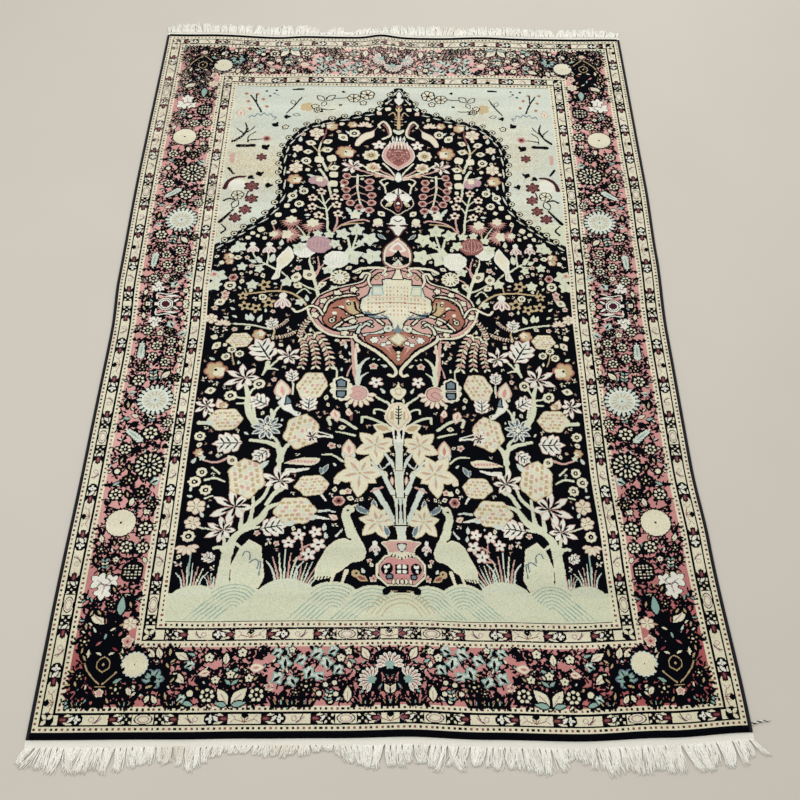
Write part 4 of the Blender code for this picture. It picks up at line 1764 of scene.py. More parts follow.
    def paint(self) -> None:
        """Paints the near left quarter and mirrors it to the other three."""
        chart = self.chart
        self.stripes()
        self.dots()
        self.guards()
        self.thicket()
        side = [Spot(spot.motif, spot.x + 4, spot.y, spot.turn, spot.size) for spot in SIDE_SPOTS]
        end = [Spot(spot.motif, (spot.x - 28) / 1.06, spot.y, spot.turn, spot.size) for spot in END_SPOTS]
        self.stems([(spot.x, spot.y) for spot in side])
        self.stems([(spot.x, spot.y) for spot in end])
        self.urn(chart.at(-540, 58))
        for spot in (*side, *end):
            DRAWN[spot.motif](chart.at(spot.x, spot.y, spot.turn, spot.size))
        self.side_vase(chart.at(-536, 1030, -90))
        knots = chart.knots
        rows, columns = knots.shape
        knots[rows // 2 :] = knots[: rows // 2][::-1]
        knots[:, columns // 2 :] = knots[:, : columns // 2][:, ::-1]


# The field's axis on the lying rug, in millimetres from its middle, by the distance from the near end.
AXIS_PLACES = (226.0, 300.0, 1000.0, 1500.0, 1834.0)
LYING_AXIS = (20.0, 20.0, 14.0, 15.0, 15.0)
PATTERN_AXIS = (27.0, 28.0, 19.5, 18.7, 18.0)

# The niche's left edge from the side to its top, and the ring beads along it, on the lying rug.
NICHE_EDGE = (
    (-440, 1205), (-420, 1226), (-392, 1246), (-366, 1270), (-342, 1292), (-315, 1318), (-294, 1352),
    (-283, 1398), (-286, 1450), (-289, 1500), (-287, 1545), (-281, 1580), (-266, 1608), (-250, 1632),
    (-228, 1656), (-196, 1672), (-160, 1686), (-124, 1698), (-92, 1711), (-58, 1722), (-34, 1748),
    (-10, 1782), (2, 1812), (15, 1824),
)
NICHE_BEADS = (
    (-411, 1239), (-388, 1262), (-366, 1285), (-344, 1308), (-318, 1335), (-298, 1371), (-291, 1408),
    (-293, 1446), (-297, 1482), (-298, 1516), (-297, 1550), (-291, 1586), (-276, 1616), (-256, 1644),
    (-229, 1669), (-200, 1682), (-165, 1696), (-133, 1705), (-98, 1720), (-61, 1734), (-36, 1764),
    (-9, 1798),
)

# What is strewn over the left spandrel and the left half of the field, on the lying rug, as it is painted.
SPANDREL_SPOTS = spots(
    (Motif.ARROW, (-321, 1422, 0, 1.2), (-340, 1466, 30, 1.3), (-372, 1455, -30, 1.1),
     (-286, 1690, 0, 1.1), (-330, 1568, 40, 1.5), (-305, 1662, 60, 1.3), (-142, 1802, 0, 0.7),
     (-142, 1748, 60, 0.6), (-188, 1720, 70)),
    (Motif.PLUM, (-391, 1317), (-368, 1345), (-356, 1384), (-360, 1430, 0, 1.15), (-346, 1541, 0, 0.85)),
    (Motif.OUTLINED_WHEEL, (-111, 1783), (-74, 1798, 20, 1.15), (-392, 1398, 10, 0.9)),
    (Motif.OUTLINED_LEAF, (-190, 1768, 44), (-184, 1770, -42, 1.1), (-186, 1764, 160, 0.8),
     (-268, 1752, 20, 0.7), (-250, 1706, 80, 0.7), (-400, 1352, -20, 1.1)),
    (Motif.BLOSSOM, (-287, 1658, 0, 0.8), (-85, 1763, 0, 0.9), (-212, 1742, 0, 0.9)),
    (Motif.BERRY_STALK, (-262, 1816), (-390, 1584, 0, 1.6)),
    (Motif.BUD, (-414, 1706, 0, 1.5)),
    (Motif.CHERRY, (-337, 1614, 0, 1.1)),
    (Motif.WHEEL, (-204, 1728, 0, 0.7)),
)

FIELD_SPOTS = spots(
    (Motif.CHERRY, (-111, 495, 0, 1.05), (-381, 1115), (-115, 1470), (-121, 1446), (-117, 1420),
     (-115, 1394), (-105, 1372), (-83, 1356), (-56, 1347), (-57, 1452), (-57, 1427), (-51, 1400),
     (-51, 1374)),
    (Motif.STARLET, (-182, 1410), (-147, 1392), (-205, 1386), (-141, 1363), (-204, 1354), (-187, 1325),
     (-137, 1332)),
    (Motif.TUFT, (-395, 292, 0, 1.15), (-352, 296, 0, 0.7), (-212, 306, 0, 1.45), (-176, 300, -22, 1.1)),
    (Motif.FIVE, (-186, 412), (-153, 420, 20, 0.95), (-206, 394, 0, 0.95), (-146, 391, 30, 1.1),
     (-164, 369, 10, 1.1), (-33, 803, 30, 1.1), (-38, 1592, 0, 1.25)),
    (Motif.THISTLE, (-253, 1304, 0, 0.95), (-200, 1292, 8, 1.1), (-256, 1256, 90, 1.1),
     (-288, 1258, 70, 0.75)),
    (Motif.ROSETTE, (-57, 1552), (-50, 1505, 0, 0.9)),
    (Motif.LOG, (-192, 590, 0, 1.05)),
    (Motif.BIRDLET, (-70, 322, 0, 1.1)),
    (Motif.WATER_LILY, (-271, 676)),
    (Motif.DROP, (-136, 430), (-132, 411, 10, 0.9), (-421, 592, -20), (-420, 505, 80, 0.8),
     (-56, 334, 20, 0.7), (-350, 856, 0, 0.7), (-411, 867, 60, 0.9), (-332, 990, 10, 1.5),
     (-342, 990, 16, 1.3), (-312, 985, -20, 1.5), (-256, 757, 20, 0.9), (-378, 1016, 50, 0.8),
     (-372, 992, 60, 0.8), (-392, 990, 70, 0.8), (-297, 1010, 10, 0.8), (-198, 1046, 10, 1.3),
     (-16, 848, 60, 0.9), (-18, 778, 30), (-112, 838, 0, 0.7), (-94, 884, 30, 0.8), (-40, 902, 160),
     (-320, 1172, 20, 1.5), (-288, 1176, -10, 1.8), (-270, 1228, 0, 1.3), (-215, 1324, 90),
     (-58, 1330, 0, 0.9), (-212, 1468, 60, 1.2), (-257, 1545, 0, 1.2), (-243, 1608, 0, 1.3),
     (-186, 1664, -10, 1.1), (-92, 1596, 8, 1.2)),
    (Motif.OVAL, (-116, 542, 0, 0.7), (-386, 908, 0, 0.5), (-412, 930, 30, 0.7), (-258, 905, 0, 0.5),
     (-413, 1163, 30, 0.6), (-322, 1276, 30, 0.85), (-342, 1263, 0, 0.6), (-328, 1254, 0, 0.5),
     (-352, 1247, 0, 0.6), (-312, 1246, 0, 0.55), (-268, 1357, 0, 0.75), (-286, 1325, 0, 0.75),
     (-250, 1338, 30, 0.65), (-126, 1433, 0, 0.5), (-128, 1382, 0, 0.4), (-150, 1474, 0, 1.1),
     (-151, 1440, 0, 1.15), (-144, 1414, 0, 0.6), (-190, 1529, 0, 1.2), (-157, 1536, 20, 1.25),
     (-138, 1673, 0, 0.6), (-220, 1490, 0, 0.6), (-15, 1737, 0, 0.75), (-18, 1762, 0, 0.4),
     (-41, 1740, 0, 0.5)),
    (Motif.VINE_LEAF, (-404, 600, 0, 0.4), (-214, 1034, 50, 0.6), (-248, 1098, 70, 0.75),
     (-418, 1118, 40, 1.1), (-424, 1088, 0, 0.9), (-362, 1150, 0, 0.65), (-372, 1216, 20, 0.95),
     (-318, 1142, 120, 0.6), (-216, 1243, 80, 0.6), (-154, 1140, 0, 0.75), (-106, 1186, 0, 1.5),
     (-50, 1188, 20, 1.25), (-56, 1246, 40, 1.1), (-88, 1276), (-124, 1262, 60, 0.95),
     (-80, 1230, 20, 0.6), (-138, 1080, 30, 0.5), (-92, 1330, 0, 0.85)),
    (Motif.PALE_PEONY, (-214, 1202, 0, 0.82), (-138, 1174, 0, 0.95)),
    (Motif.DAISY, (-126, 1117)),
    (Motif.RING, (-401, 564, 0, 1.15), (-414, 540, 0, 1.3), (-389, 520, 0, 1.25), (-412, 411, 0, 1.3),
     (-414, 655, 0, 1.2), (-357, 763, 0, 1.4), (-299, 794, 0, 1.35), (-380, 873), (-369, 893), (-351, 881),
     (-306, 1052), (-387, 1089, 0, 1.4), (-256, 1393, 0, 1.25), (-238, 1363, 0, 1.2),
     (-228, 1410, 0, 1.25), (-225, 1524, 0, 1.35), (-104, 1637, 0, 1.5)),
    (Motif.POINT_STAR, (-354, 1056, 0, 0.85), (-350, 1025, 10), (-322, 1018, 30), (-291, 1034, 0, 1.15),
     (-302, 1091, 20, 1.1)),
    (Motif.BELL, (-36, 390, 0, 0.55), (-256, 1042, 0, 1.05), (-338, 1216, 6, 0.78), (-298, 1214, 0, 0.82),
     (-35, 1304, 0, 0.62)),
    (Motif.EYE_LEAF, (-404, 777, 20), (-405, 905, 50), (-340, 958, 40, 0.6), (-408, 1036, 30, 1.1),
     (-227, 1112, 80, 1.3), (-222, 1086, -30, 0.9), (-294, 1298, 80, 0.7), (-196, 1120, 130, 1.6),
     (-166, 1092, 40, 0.9), (-26, 1334, 130, 0.9), (-84, 1136, 40, 0.7), (-222, 1559),
     (-170, 1568, 20, 1.1), (-215, 1594, -20, 1.1), (-170, 1601, 30), (-132, 1620, -50, 1.3),
     (-150, 1500, 20, 1.1)),
    (Motif.PINK, (-93, 518, 0, 0.8), (-36, 317, 0, 0.8), (-45, 357, 0, 0.5), (-398, 1050, 0, 0.9),
     (-418, 1018, 0, 0.8), (-40, 848), (-110, 914, 0, 0.9), (-397, 1064, 0, 1.1), (-427, 1124),
     (-350, 1180, 0, 0.7), (-338, 1153, 0, 0.7), (-237, 1628, 0, 0.8)),
    (Motif.DROP, (-420, 523, 0, 0.9), (-33, 374, 0, 0.8), (-103, 906), (-336, 1168, 60, 1.3),
     (-250, 1408, -20), (-262, 1377, 150), (-236, 1424, -30, 0.9), (-110, 1346, 40, 1.4),
     (-72, 1346, -36, 1.2), (-120, 1640, 50, 0.9)),
    (Motif.PEACH, (-413, 613, 0, 0.5), (-396, 1182, 70, 0.65), (-394, 1168, 0, 0.5), (-38, 1476, 0, 0.45),
     (-254, 1454, 0, 0.9), (-162, 1662, 200, 0.75), (-110, 1672, 0, 0.6), (-122, 1562, 0, 1.15)),
    (Motif.SKIRT, (-412, 390, 8), (-397, 966, 180, 0.8), (-78, 1664, 180, 0.9)),
    (Motif.MALLOW, (-405, 481, 0, 1.15), (-408, 442, 20, 0.95), (-424, 985, 0, 0.9), (-252, 1497, 0, 1.15),
     (-250, 1572, 0, 0.85), (-200, 1634, 10, 1.2)),
    (Motif.RING, (-250, 1520, 0, 0.6)),
    (Motif.MAPLE, (-366, 361, 60, 0.55), (-243, 430, -80, 1.1), (-345, 637, 92, 1.25),
     (-274, 607, 130, 0.8), (-291, 745, 60, 0.95), (-227, 814, 10, 0.72), (-281, 966, 10, 0.75)),
    (Motif.BUD, (-113, 452, 60, 0.9), (-93, 610, 0, 2), (-243, 760, 12, 2.4), (-126, 722, 190, 1.5),
     (-93, 712, 4), (-78, 888, 0, 0.9), (-36, 1716, 40, 0.9)),
    (Motif.LILY, (-346, 424, 10), (-326, 478, 8, 1.4), (-234, 541, -40, 1.05), (-407, 735, 70, 0.85),
     (-334, 812, 10, 1.2), (-100, 1507, 20, 0.9)),
    (Motif.BUD, (-374, 732, 20, 1.3)),
    (Motif.BLOOM, (-303, 549, 100, 1.42), (-196, 468, 4, 1.22), (-165, 530, 8, 0.96),
     (-196, 667, 80, 1.32), (-179, 791, 60, 1.2), (-354, 921, 6, 0.82)),
    (Motif.PEACH, (-368, 736, 0, 0.45), (-399, 834, 0, 1.2), (-312, 937, 60, 0.75)),
    (Motif.EYE_LEAF, (-336, 592, 130, 1.2), (-374, 1180, 0, 0.8)),
    (Motif.MAPLE, (-296, 888, 30, 1.45), (-185, 738, 0, 0.9)),
    (Motif.LILY, (-238, 872, -50, 0.95), (-176, 654, -90, 0.7)),
    (Motif.FERN, (-213, 922, 4, 0.8), (-222, 948, 138, 0.62), (-214, 932, -150), (-203, 944, -138, 1.15),
     (-184, 950, -132, 1.28), (-242, 985, 158, 0.5)),
    (Motif.BLOOM, (-361, 698, 4, 1.1)),
    (Motif.DROP, (-392, 462, 30), (-268, 580, -40, 1.6), (-206, 438, 100, 1.6), (-160, 452, 120, 1.2),
     (-84, 604, -20, 1.3), (-102, 606, 24, 1.3), (-396, 690, 80, 1.6), (-188, 950, 0, 0.9),
     (-98, 740, 180), (-262, 1430, 10)),
    (Motif.OVAL, (-103, 516, 0, 0.6), (-90, 1326, 0, 0.9), (-35, 1306, 20, 1.1), (-200, 1610, 0, 0.5),
     (-272, 1480, 0, 0.5)),
    (Motif.SLATE_LEAF, (-150, 556, -28, 0.9), (-147, 556, 12, 0.6), (-36, 462, 4, 1.1),
     (-48, 462, 52, 1.1), (-14, 1244, 48, 0.85)),
    (Motif.LOBED, (-68, 564, 0, 1.08), (-34, 634, 8, 0.95), (-32, 446, 100, 0.86)),
    (Motif.SLATE_LEAF, (-18, 440, 198, 0.95)),
    (Motif.VINE_LEAF, (-333, 1092, 0, 0.75), (-388, 1206, 20, 0.5), (-228, 1212, 60, 0.8)),
    (Motif.LILAC_PEONY, (-181, 1224, 0, 0.98), (-182, 1444, 0, 0.55), (-204, 1450, 0, 0.45)),
    (Motif.VINE_LEAF, (-143, 1227, 30, 0.75), (-186, 1260, 0, 0.6), (-158, 1258, 0, 0.65)),
    (Motif.OVAL, (-188, 1454, 0, 0.9)),
)


@dataclass(frozen=True)
class Limb:
    """A stem or a bough: the places that it goes through on the lying rug, its widths and its yarn."""

    points: tuple[tuple[float, float], ...]
    width: float
    tip: float
    yarn: Yarn = Yarn.SAGE


LIMBS = (
    Limb(((-334, 286), (-334, 330), (-331, 378)), 27, 19),
    Limb(((-331, 365), (-345, 384), (-360, 383)), 12, 6),
    Limb(((-331, 372), (-318, 392), (-300, 380)), 10, 5),
    Limb(((-336, 372), (-340, 400), (-344, 420)), 9, 4),
    Limb(((-330, 372), (-322, 405), (-300, 424), (-270, 430)), 20, 5),
    Limb(((-308, 420), (-308, 445), (-305, 470)), 10, 5),
    Limb(((-296, 426), (-288, 452), (-284, 500)), 12, 6),
    Limb(((-296, 430), (-268, 450), (-252, 475), (-228, 486)), 18, 6),
    Limb(((-282, 482), (-262, 505), (-250, 540)), 9, 6),
    Limb(((-256, 484), (-240, 510), (-224, 525), (-236, 560), (-236, 596)), 9, 10),
    Limb(((-236, 590), (-238, 618), (-262, 636), (-302, 644)), 15, 7),
    Limb(((-236, 600), (-226, 625), (-208, 650)), 12, 6),
    Limb(((-240, 612), (-246, 640), (-262, 655)), 9, 5),
    Limb(((-262, 700), (-256, 722), (-240, 738)), 8, 4),
    Limb(((-262, 705), (-266, 724)), 8, 5),
    Limb(((-296, 690), (-312, 715), (-318, 740)), 16, 12),
    Limb(((-300, 706), (-306, 740)), 8, 6),
    Limb(((-318, 738), (-320, 765), (-330, 800)), 14, 6),
    Limb(((-340, 742), (-318, 742), (-292, 742)), 5, 6),
    Limb(((-318, 765), (-310, 780), (-300, 790)), 6, 4),
    Limb(((-322, 755), (-340, 758), (-352, 762)), 5, 4),
    Limb(((-326, 790), (-340, 800), (-368, 800)), 6, 4),
    Limb(((-224, 765), (-224, 800)), 4, 3),
    Limb(((-285, 855), (-288, 836), (-294, 820)), 10, 5),
    Limb(((-284, 838), (-262, 862), (-248, 870)), 6, 3),
    Limb(((-286, 838), (-270, 836), (-260, 832)), 6, 3),
    Limb(((-280, 925), (-276, 945), (-280, 955)), 5, 4, TAN),
    Limb(((-372, 970), (-330, 966), (-285, 952)), 5, 4),
    Limb(((-360, 850), (-366, 870), (-369, 885)), 3, 2, TAN),
    Limb(((-402, 380), (-402, 340), (-400, 300)), 3, 3, TEAL),
    Limb(((-192, 352), (-176, 372), (-180, 402)), 5, 3, PALE_PINK),
    Limb(((-188, 358), (-170, 358), (-160, 362)), 4, 3, PALE_PINK),
    Limb(((-180, 380), (-165, 390), (-152, 390)), 4, 3, PALE_PINK),
    Limb(((-150, 607), (-125, 606), (-106, 592)), 4, 5),
    Limb(((-218, 565), (-196, 566), (-176, 572)), 12, 4, WHITE),
    Limb(((-148, 468), (-130, 470), (-116, 468)), 6, 3, CELADON),
    Limb(((-158, 456), (-140, 452), (-128, 450)), 8, 3, WHITE),
    Limb(((-152, 515), (-142, 502), (-136, 494)), 5, 4, WHITE),
    Limb(((-163, 690), (-172, 660), (-130, 652)), 1, 5, WHITE),
    Limb(((-400, 594), (-372, 588), (-345, 600)), 4, 6, PALE_PINK),
    Limb(((-380, 575), (-362, 560)), 4, 5),
    Limb(((-392, 545), (-372, 548), (-350, 540)), 6, 4),
    Limb(((-390, 500), (-372, 505)), 4, 3),
    Limb(((-400, 434), (-380, 428), (-362, 424)), 4, 3),
    Limb(((-420, 690), (-402, 690), (-392, 694)), 10, 8),
    Limb(((-398, 715), (-390, 705)), 5, 4),
    Limb(((-112, 922), (-96, 922)), 5, 5, PALE_PINK),
    Limb(((-350, 1062), (-320, 1066), (-280, 1070), (-240, 1064), (-212, 1044), (-196, 1018)), 4, 6, TAN),
    Limb(((-302, 1078), (-296, 1068)), 3, 3, TAN),
    Limb(((-252, 1064), (-254, 1048)), 3, 3, TAN),
    Limb(((-350, 1078), (-345, 1064)), 3, 3, TAN),
    Limb(((-262, 1068), (-258, 1092)), 3, 3, TAN),
    Limb(((-222, 1060), (-206, 1076), (-190, 1062)), 4, 3),
    Limb(((-172, 1058), (-178, 1085), (-188, 1118), (-194, 1148)), 9, 6),
    Limb(((-174, 1072), (-196, 1080), (-222, 1098)), 6, 3),
    Limb(((-186, 1112), (-176, 1140), (-182, 1182)), 5, 3, PALE_PINK),
    Limb(((-192, 1140), (-200, 1165), (-200, 1186)), 5, 3),
    Limb(((-184, 1128), (-170, 1152), (-158, 1170)), 4, 3, PALE_PINK),
    Limb(((-172, 1096), (-160, 1108), (-148, 1116)), 4, 3, PALE_PINK),
    Limb(((-176, 1074), (-164, 1086)), 6, 4),
    Limb(((-262, 1130), (-246, 1112)), 4, 3),
    Limb(((-276, 1138), (-300, 1156), (-330, 1174)), 6, 3),
    Limb(((-300, 1158), (-320, 1154), (-334, 1154)), 4, 3),
    Limb(((-300, 1158), (-298, 1176), (-298, 1192)), 5, 3),
    Limb(((-322, 1172), (-332, 1186), (-336, 1196)), 4, 3),
    Limb(((-212, 1240), (-222, 1262), (-240, 1288)), 5, 3),
    Limb(((-212, 1240), (-208, 1258), (-208, 1275)), 5, 3, TAN),
    Limb(((-212, 1244), (-230, 1252), (-246, 1254)), 4, 3),
    Limb(((-288, 1268), (-294, 1286)), 3, 3, PALE_PINK),
    Limb(((-162, 1272), (-164, 1310), (-170, 1352), (-182, 1400)), 6, 4),
    Limb(((-168, 1348), (-186, 1352), (-196, 1354)), 4, 3),
    Limb(((-172, 1362), (-186, 1378), (-198, 1384)), 4, 3),
    Limb(((-166, 1340), (-158, 1356), (-150, 1362)), 4, 3),
    Limb(((-170, 1368), (-162, 1382), (-154, 1390)), 4, 3),
    Limb(((-164, 1308), (-176, 1316)), 4, 3),
    Limb(((-146, 1276), (-140, 1300), (-138, 1326)), 5, 4, PALE_PINK),
    Limb(((-152, 1262), (-130, 1290), (-104, 1306), (-70, 1312), (-58, 1308)), 4, 5, PALE_PINK),
    Limb(((-128, 1292), (-104, 1298), (-72, 1300)), 5, 4, TAN),
    Limb(((-104, 1204), (-108, 1228), (-112, 1250)), 9, 4),
    Limb(((-100, 1208), (-94, 1236), (-88, 1262)), 6, 4),
    Limb(((-102, 1208), (-84, 1222), (-78, 1226)), 6, 4),
    Limb(((-104, 1202), (-84, 1200), (-62, 1194)), 6, 4),
    Limb(((-88, 1474), (-88, 1430), (-84, 1400), (-78, 1364)), 6, 4),
    Limb(((-88, 1440), (-100, 1428), (-108, 1424)), 3, 2, PALE_PINK),
    Limb(((-88, 1440), (-74, 1430), (-66, 1428)), 3, 2, PALE_PINK),
    Limb(((-86, 1412), (-98, 1402), (-106, 1398)), 3, 2, PALE_PINK),
    Limb(((-86, 1412), (-70, 1404), (-60, 1402)), 3, 2, PALE_PINK),
    Limb(((-82, 1388), (-94, 1378)), 3, 2, PALE_PINK),
    Limb(((-82, 1388), (-68, 1378), (-60, 1376)), 3, 2, PALE_PINK),
    Limb(((-88, 1468), (-104, 1468)), 4, 4, IVORY),
    Limb(((-88, 1470), (-60, 1474), (-44, 1480)), 3, 3, IVORY),
    Limb(((-158, 1402), (-162, 1430), (-176, 1474), (-188, 1492)), 6, 8),
    Limb(((-172, 1462), (-200, 1466), (-214, 1470)), 3, 3, IVORY),
    Limb(((-168, 1490), (-184, 1530), (-192, 1560), (-186, 1600)), 8, 4),
    Limb(((-168, 1492), (-156, 1520)), 4, 3, TAN),
    Limb(((-190, 1556), (-204, 1574), (-212, 1586)), 4, 3, TAN),
    Limb(((-210, 1500), (-224, 1512)), 3, 3, TAN),
    Limb(((-186, 1596), (-178, 1626), (-176, 1650)), 4, 3, BROWN_ROSE),
    Limb(((-188, 1560), (-176, 1580)), 4, 3, TAN),
    Limb(((-112, 1590), (-122, 1574)), 3, 3, IVORY),
    # The hooked stalks beside the lotus, and the stems that hang from the medallion.
    Limb(((4, 672), (-18, 690), (-44, 704), (-62, 708), (-64, 694)), 6, 6),
    Limb(((-16, 672), (-26, 684), (-40, 694)), 2, 2, BLACK),
    Limb(((-78, 676), (-104, 696), (-128, 704), (-140, 702), (-136, 686)), 7, 7),
    Limb(((-80, 658), (-102, 664), (-122, 668)), 6, 3),
    Limb(((-88, 700), (-88, 716)), 5, 7, BROWN_ROSE),
    Limb(((2, 722), (-6, 742), (-24, 756), (-32, 762)), 6, 5),
    Limb(((-4, 716), (-20, 726), (-34, 728), (-36, 718)), 4, 5),
    Limb(((-90, 934), (-86, 880), (-82, 830), (-76, 798)), 8, 7, PALE_PINK),
    Limb(((-76, 934), (-80, 880), (-76, 840), (-72, 798)), 6, 6, IVORY),
    Limb(((-74, 800), (-72, 840), (-62, 862), (-50, 872)), 12, 3, CELADON),
    Limb(((-72, 800), (-66, 818), (-52, 830)), 8, 3, CELADON),
    Limb(((-98, 820), (-94, 836), (-88, 850)), 4, 3, PALE_PINK),
    Limb(((-122, 812), (-124, 836), (-138, 858)), 5, 3),
    Limb(((-160, 666), (-130, 656)), 3, 3, WHITE),
    # The spandrel's dark stems.
    Limb(((-392, 1792), (-374, 1760), (-358, 1722)), 4.76, 5.2, BLACK),
    Limb(((-376, 1796), (-374, 1764)), 4.2, 3.9, BLACK),
    Limb(((-250, 1780), (-268, 1744), (-286, 1716)), 4.2, 3.9, BLACK),
    Limb(((-326, 1800), (-312, 1792)), 3, 2, SLATE),
    Limb(((-424, 1600), (-404, 1620), (-392, 1650), (-398, 1676)), 8.4, 3.9, BLACK),
    Limb(((-396, 1636), (-378, 1652), (-372, 1664)), 4.2, 2.6, BLACK),
    Limb(((-398, 1630), (-412, 1646), (-420, 1654)), 4.2, 2.6, BLACK),
    Limb(((-386, 1600), (-386, 1622), (-368, 1640)), 4.2, 2.6, BLACK),
    Limb(((-384, 1606), (-362, 1610), (-346, 1612)), 4.2, 2.6, BLACK),
    Limb(((-390, 1700), (-384, 1708), (-376, 1702), (-368, 1714), (-358, 1708), (-350, 1718), (-340, 1708),
          (-330, 1714), (-324, 1702), (-314, 1700), (-320, 1690)), 3.6, 3, SLATE),
    Limb(((-428, 1422), (-420, 1448), (-400, 1464), (-380, 1466)), 12, 6, MAROON),
    Limb(((-426, 1376), (-412, 1384), (-396, 1378), (-394, 1362)), 5.6, 3.9, BLACK),
    Limb(((-430, 1300), (-414, 1322), (-398, 1346)), 9.8, 5.2, BLACK),
    Limb(((-422, 1262), (-412, 1276), (-424, 1292)), 5.6, 3.9, BLACK),
    Limb(((-372, 1384), (-366, 1410)), 4, 4, MAROON),
    Limb(((-424, 1496), (-410, 1476)), 8.4, 5.2, BLACK),
    Limb(((-160, 1780), (-148, 1780), (-128, 1784)), 4.2, 2.6, BLACK),
    Limb(((-196, 1732), (-176, 1730), (-160, 1734)), 4.2, 2.6, BLACK),
    Limb(((-420, 1548), (-418, 1520)), 12, 8, PALE_PINK),
)


@dataclass
class RugField:
    """The field: hills, a flowering vase, trees, paired cranes, a medallion and the niche over them."""

    chart: KnotChart
    half: float = 434.0
    near: float = 226.0
    far: float = 1834.0
    line_pitch: float = 7.4
    tan_share: float = 0.4
    pink_share: float = 0.62
    celadon_share: float = 0.34
    seed: int = 41

    def straight(self, x: float, y: float) -> tuple[float, float]:
        """Moves a place on the lying rug to where it would be if the field's axis were straight."""
        axis = float(np.interp(y, AXIS_PLACES, LYING_AXIS))
        return (x - axis) * self.half / (self.half + axis), y

    def at(self, x: float, y: float, turn: float = 0.0, size: float = 1.0) -> KnotChart:
        """The chart at a place on the lying rug."""
        return self.chart.at(*self.straight(x, y), turn, size)

    def patch(self, points: Sequence[Place], *bands: Band, smooth: bool = True) -> None:
        """A closed shape through places on the lying rug."""
        self.chart.shape([self.straight(*point) for point in points], *bands, smooth=smooth)

    def line(self, points: Sequence[Place], width: float, *bands: Band, tip: float | None = None,
             smooth: bool = True) -> None:
        """A line through places on the lying rug."""
        self.chart.stroke(
            [self.straight(*point) for point in points], width, *bands, tip=tip, smooth=smooth
        )

    def hills(self) -> None:
        """Paints the pale hills with their contour lines."""
        self.chart.rectangle(-self.half - 8, self.near, 10, 284, SAGE)
        for x, top, radius, lined in ((-385, 302, 56, False), (-310, 310, 60, True), (-205, 314, 78, False),
                                      (-112, 310, 62, True), (-38, 303, 52, True)):
            hill = self.at(x, top - radius)
            hill.disc(0, 0, radius, SAGE)
            for step in range(1, int(radius / self.line_pitch) if lined else 3):
                reach = radius - step * self.line_pitch
                arc = [(reach * math.cos(math.radians(a)), reach * math.sin(math.radians(a)))
                       for a in (36, 62, 90, 116, 140)]
                drop = arc[-1][1] + (top - radius) - self.near - 5
                if lined and step > 1:
                    arc.append((arc[-1][0] - drop * 1.05, arc[-1][1] - drop))
                hill.stroke(arc, 1.7, (TEAL if lined else CELADON, 0))
        for step in range(4):
            reach = 68 - step * 9
            self.chart.stroke([(reach * math.cos(math.radians(a)), 222 + reach * math.sin(math.radians(a)))
                               for a in (20, 55, 90, 125, 160)], 1.7, TAN)

    def stone(self) -> None:
        """Paints the upright stone beside the left tree."""
        self.patch(((-318, 296), (-322, 344), (-306, 384), (-288, 402), (-262, 386), (-256, 340),
                    (-252, 318), (-264, 294)), IVORY, (SAGE, 3.0), smooth=False)
        self.line(((-300, 366), (-296, 374), (-286, 372), (-284, 356)), 2.6, SLATE)
        self.line(((-284, 350), (-276, 356), (-268, 354), (-268, 336)), 3.0, SLATE)
        self.line(((-268, 352), (-262, 350), (-264, 322)), 2.4, SLATE)

    def crane(self) -> None:
        """Paints the left crane, with a sprig in its beak."""
        self.patch(((-92, 424), (-80, 430), (-66, 408), (-55, 388), (-52, 374), (-58, 358), (-78, 352),
                    (-96, 336), (-112, 326), (-128, 315), (-149, 314), (-149, 340), (-138, 364),
                    (-126, 388), (-110, 403), (-94, 406), (-82, 402)), IVORY, (SAGE, 3.0))
        self.line(((-82, 416), (-88, 436), (-95, 458), (-92, 476)), 20, SAGE, tip=15)
        self.at(-90, 474).disc(0, 0, 10.5, IVORY, (SAGE, 2.0))
        self.line(((-84, 480), (-72, 488)), 6, IVORY, tip=2)
        self.at(-92, 472).disc(0, 0, 2.8, BLACK)
        for x in (-118, -96):
            self.line(((x + 8, 334), (x, 306)), 8, IVORY, tip=5)
        for step in range(5):
            self.line(((-146 + step * 6, 311), (-143 + step * 6, 320)), 2.0, BLACK, smooth=False)
        self.line(((-74, 484), (-62, 476), (-50, 470)), 4, SLATE)
        self.line(((-112, 412), (-104, 422), (-101, 428)), 5, CELADON, tip=2)

    def dove(self) -> None:
        """Paints the white dove below the niche and the grey bird above the lotus."""
        self.patch(((-252, 1216), (-243, 1202), (-238, 1176), (-252, 1152), (-264, 1138), (-268, 1112),
                    (-286, 1108), (-278, 1132), (-276, 1152), (-278, 1174), (-268, 1192), (-260, 1204)),
                    WHITE, (IVORY, 5))
        self.line(((-270, 1116), (-272, 1136)), 1.6, TAN)
        self.patch(((-254, 742), (-238, 766), (-226, 740), (-218, 722), (-202, 714), (-210, 704),
                    (-228, 716), (-242, 724)), CELADON, (WHITE, 2.0))
        self.patch(((-240, 734), (-236, 764), (-222, 742)), BLACK, (SLATE, 3.0))
        self.at(-207, 713).disc(0, 0, 2.0, BLACK)

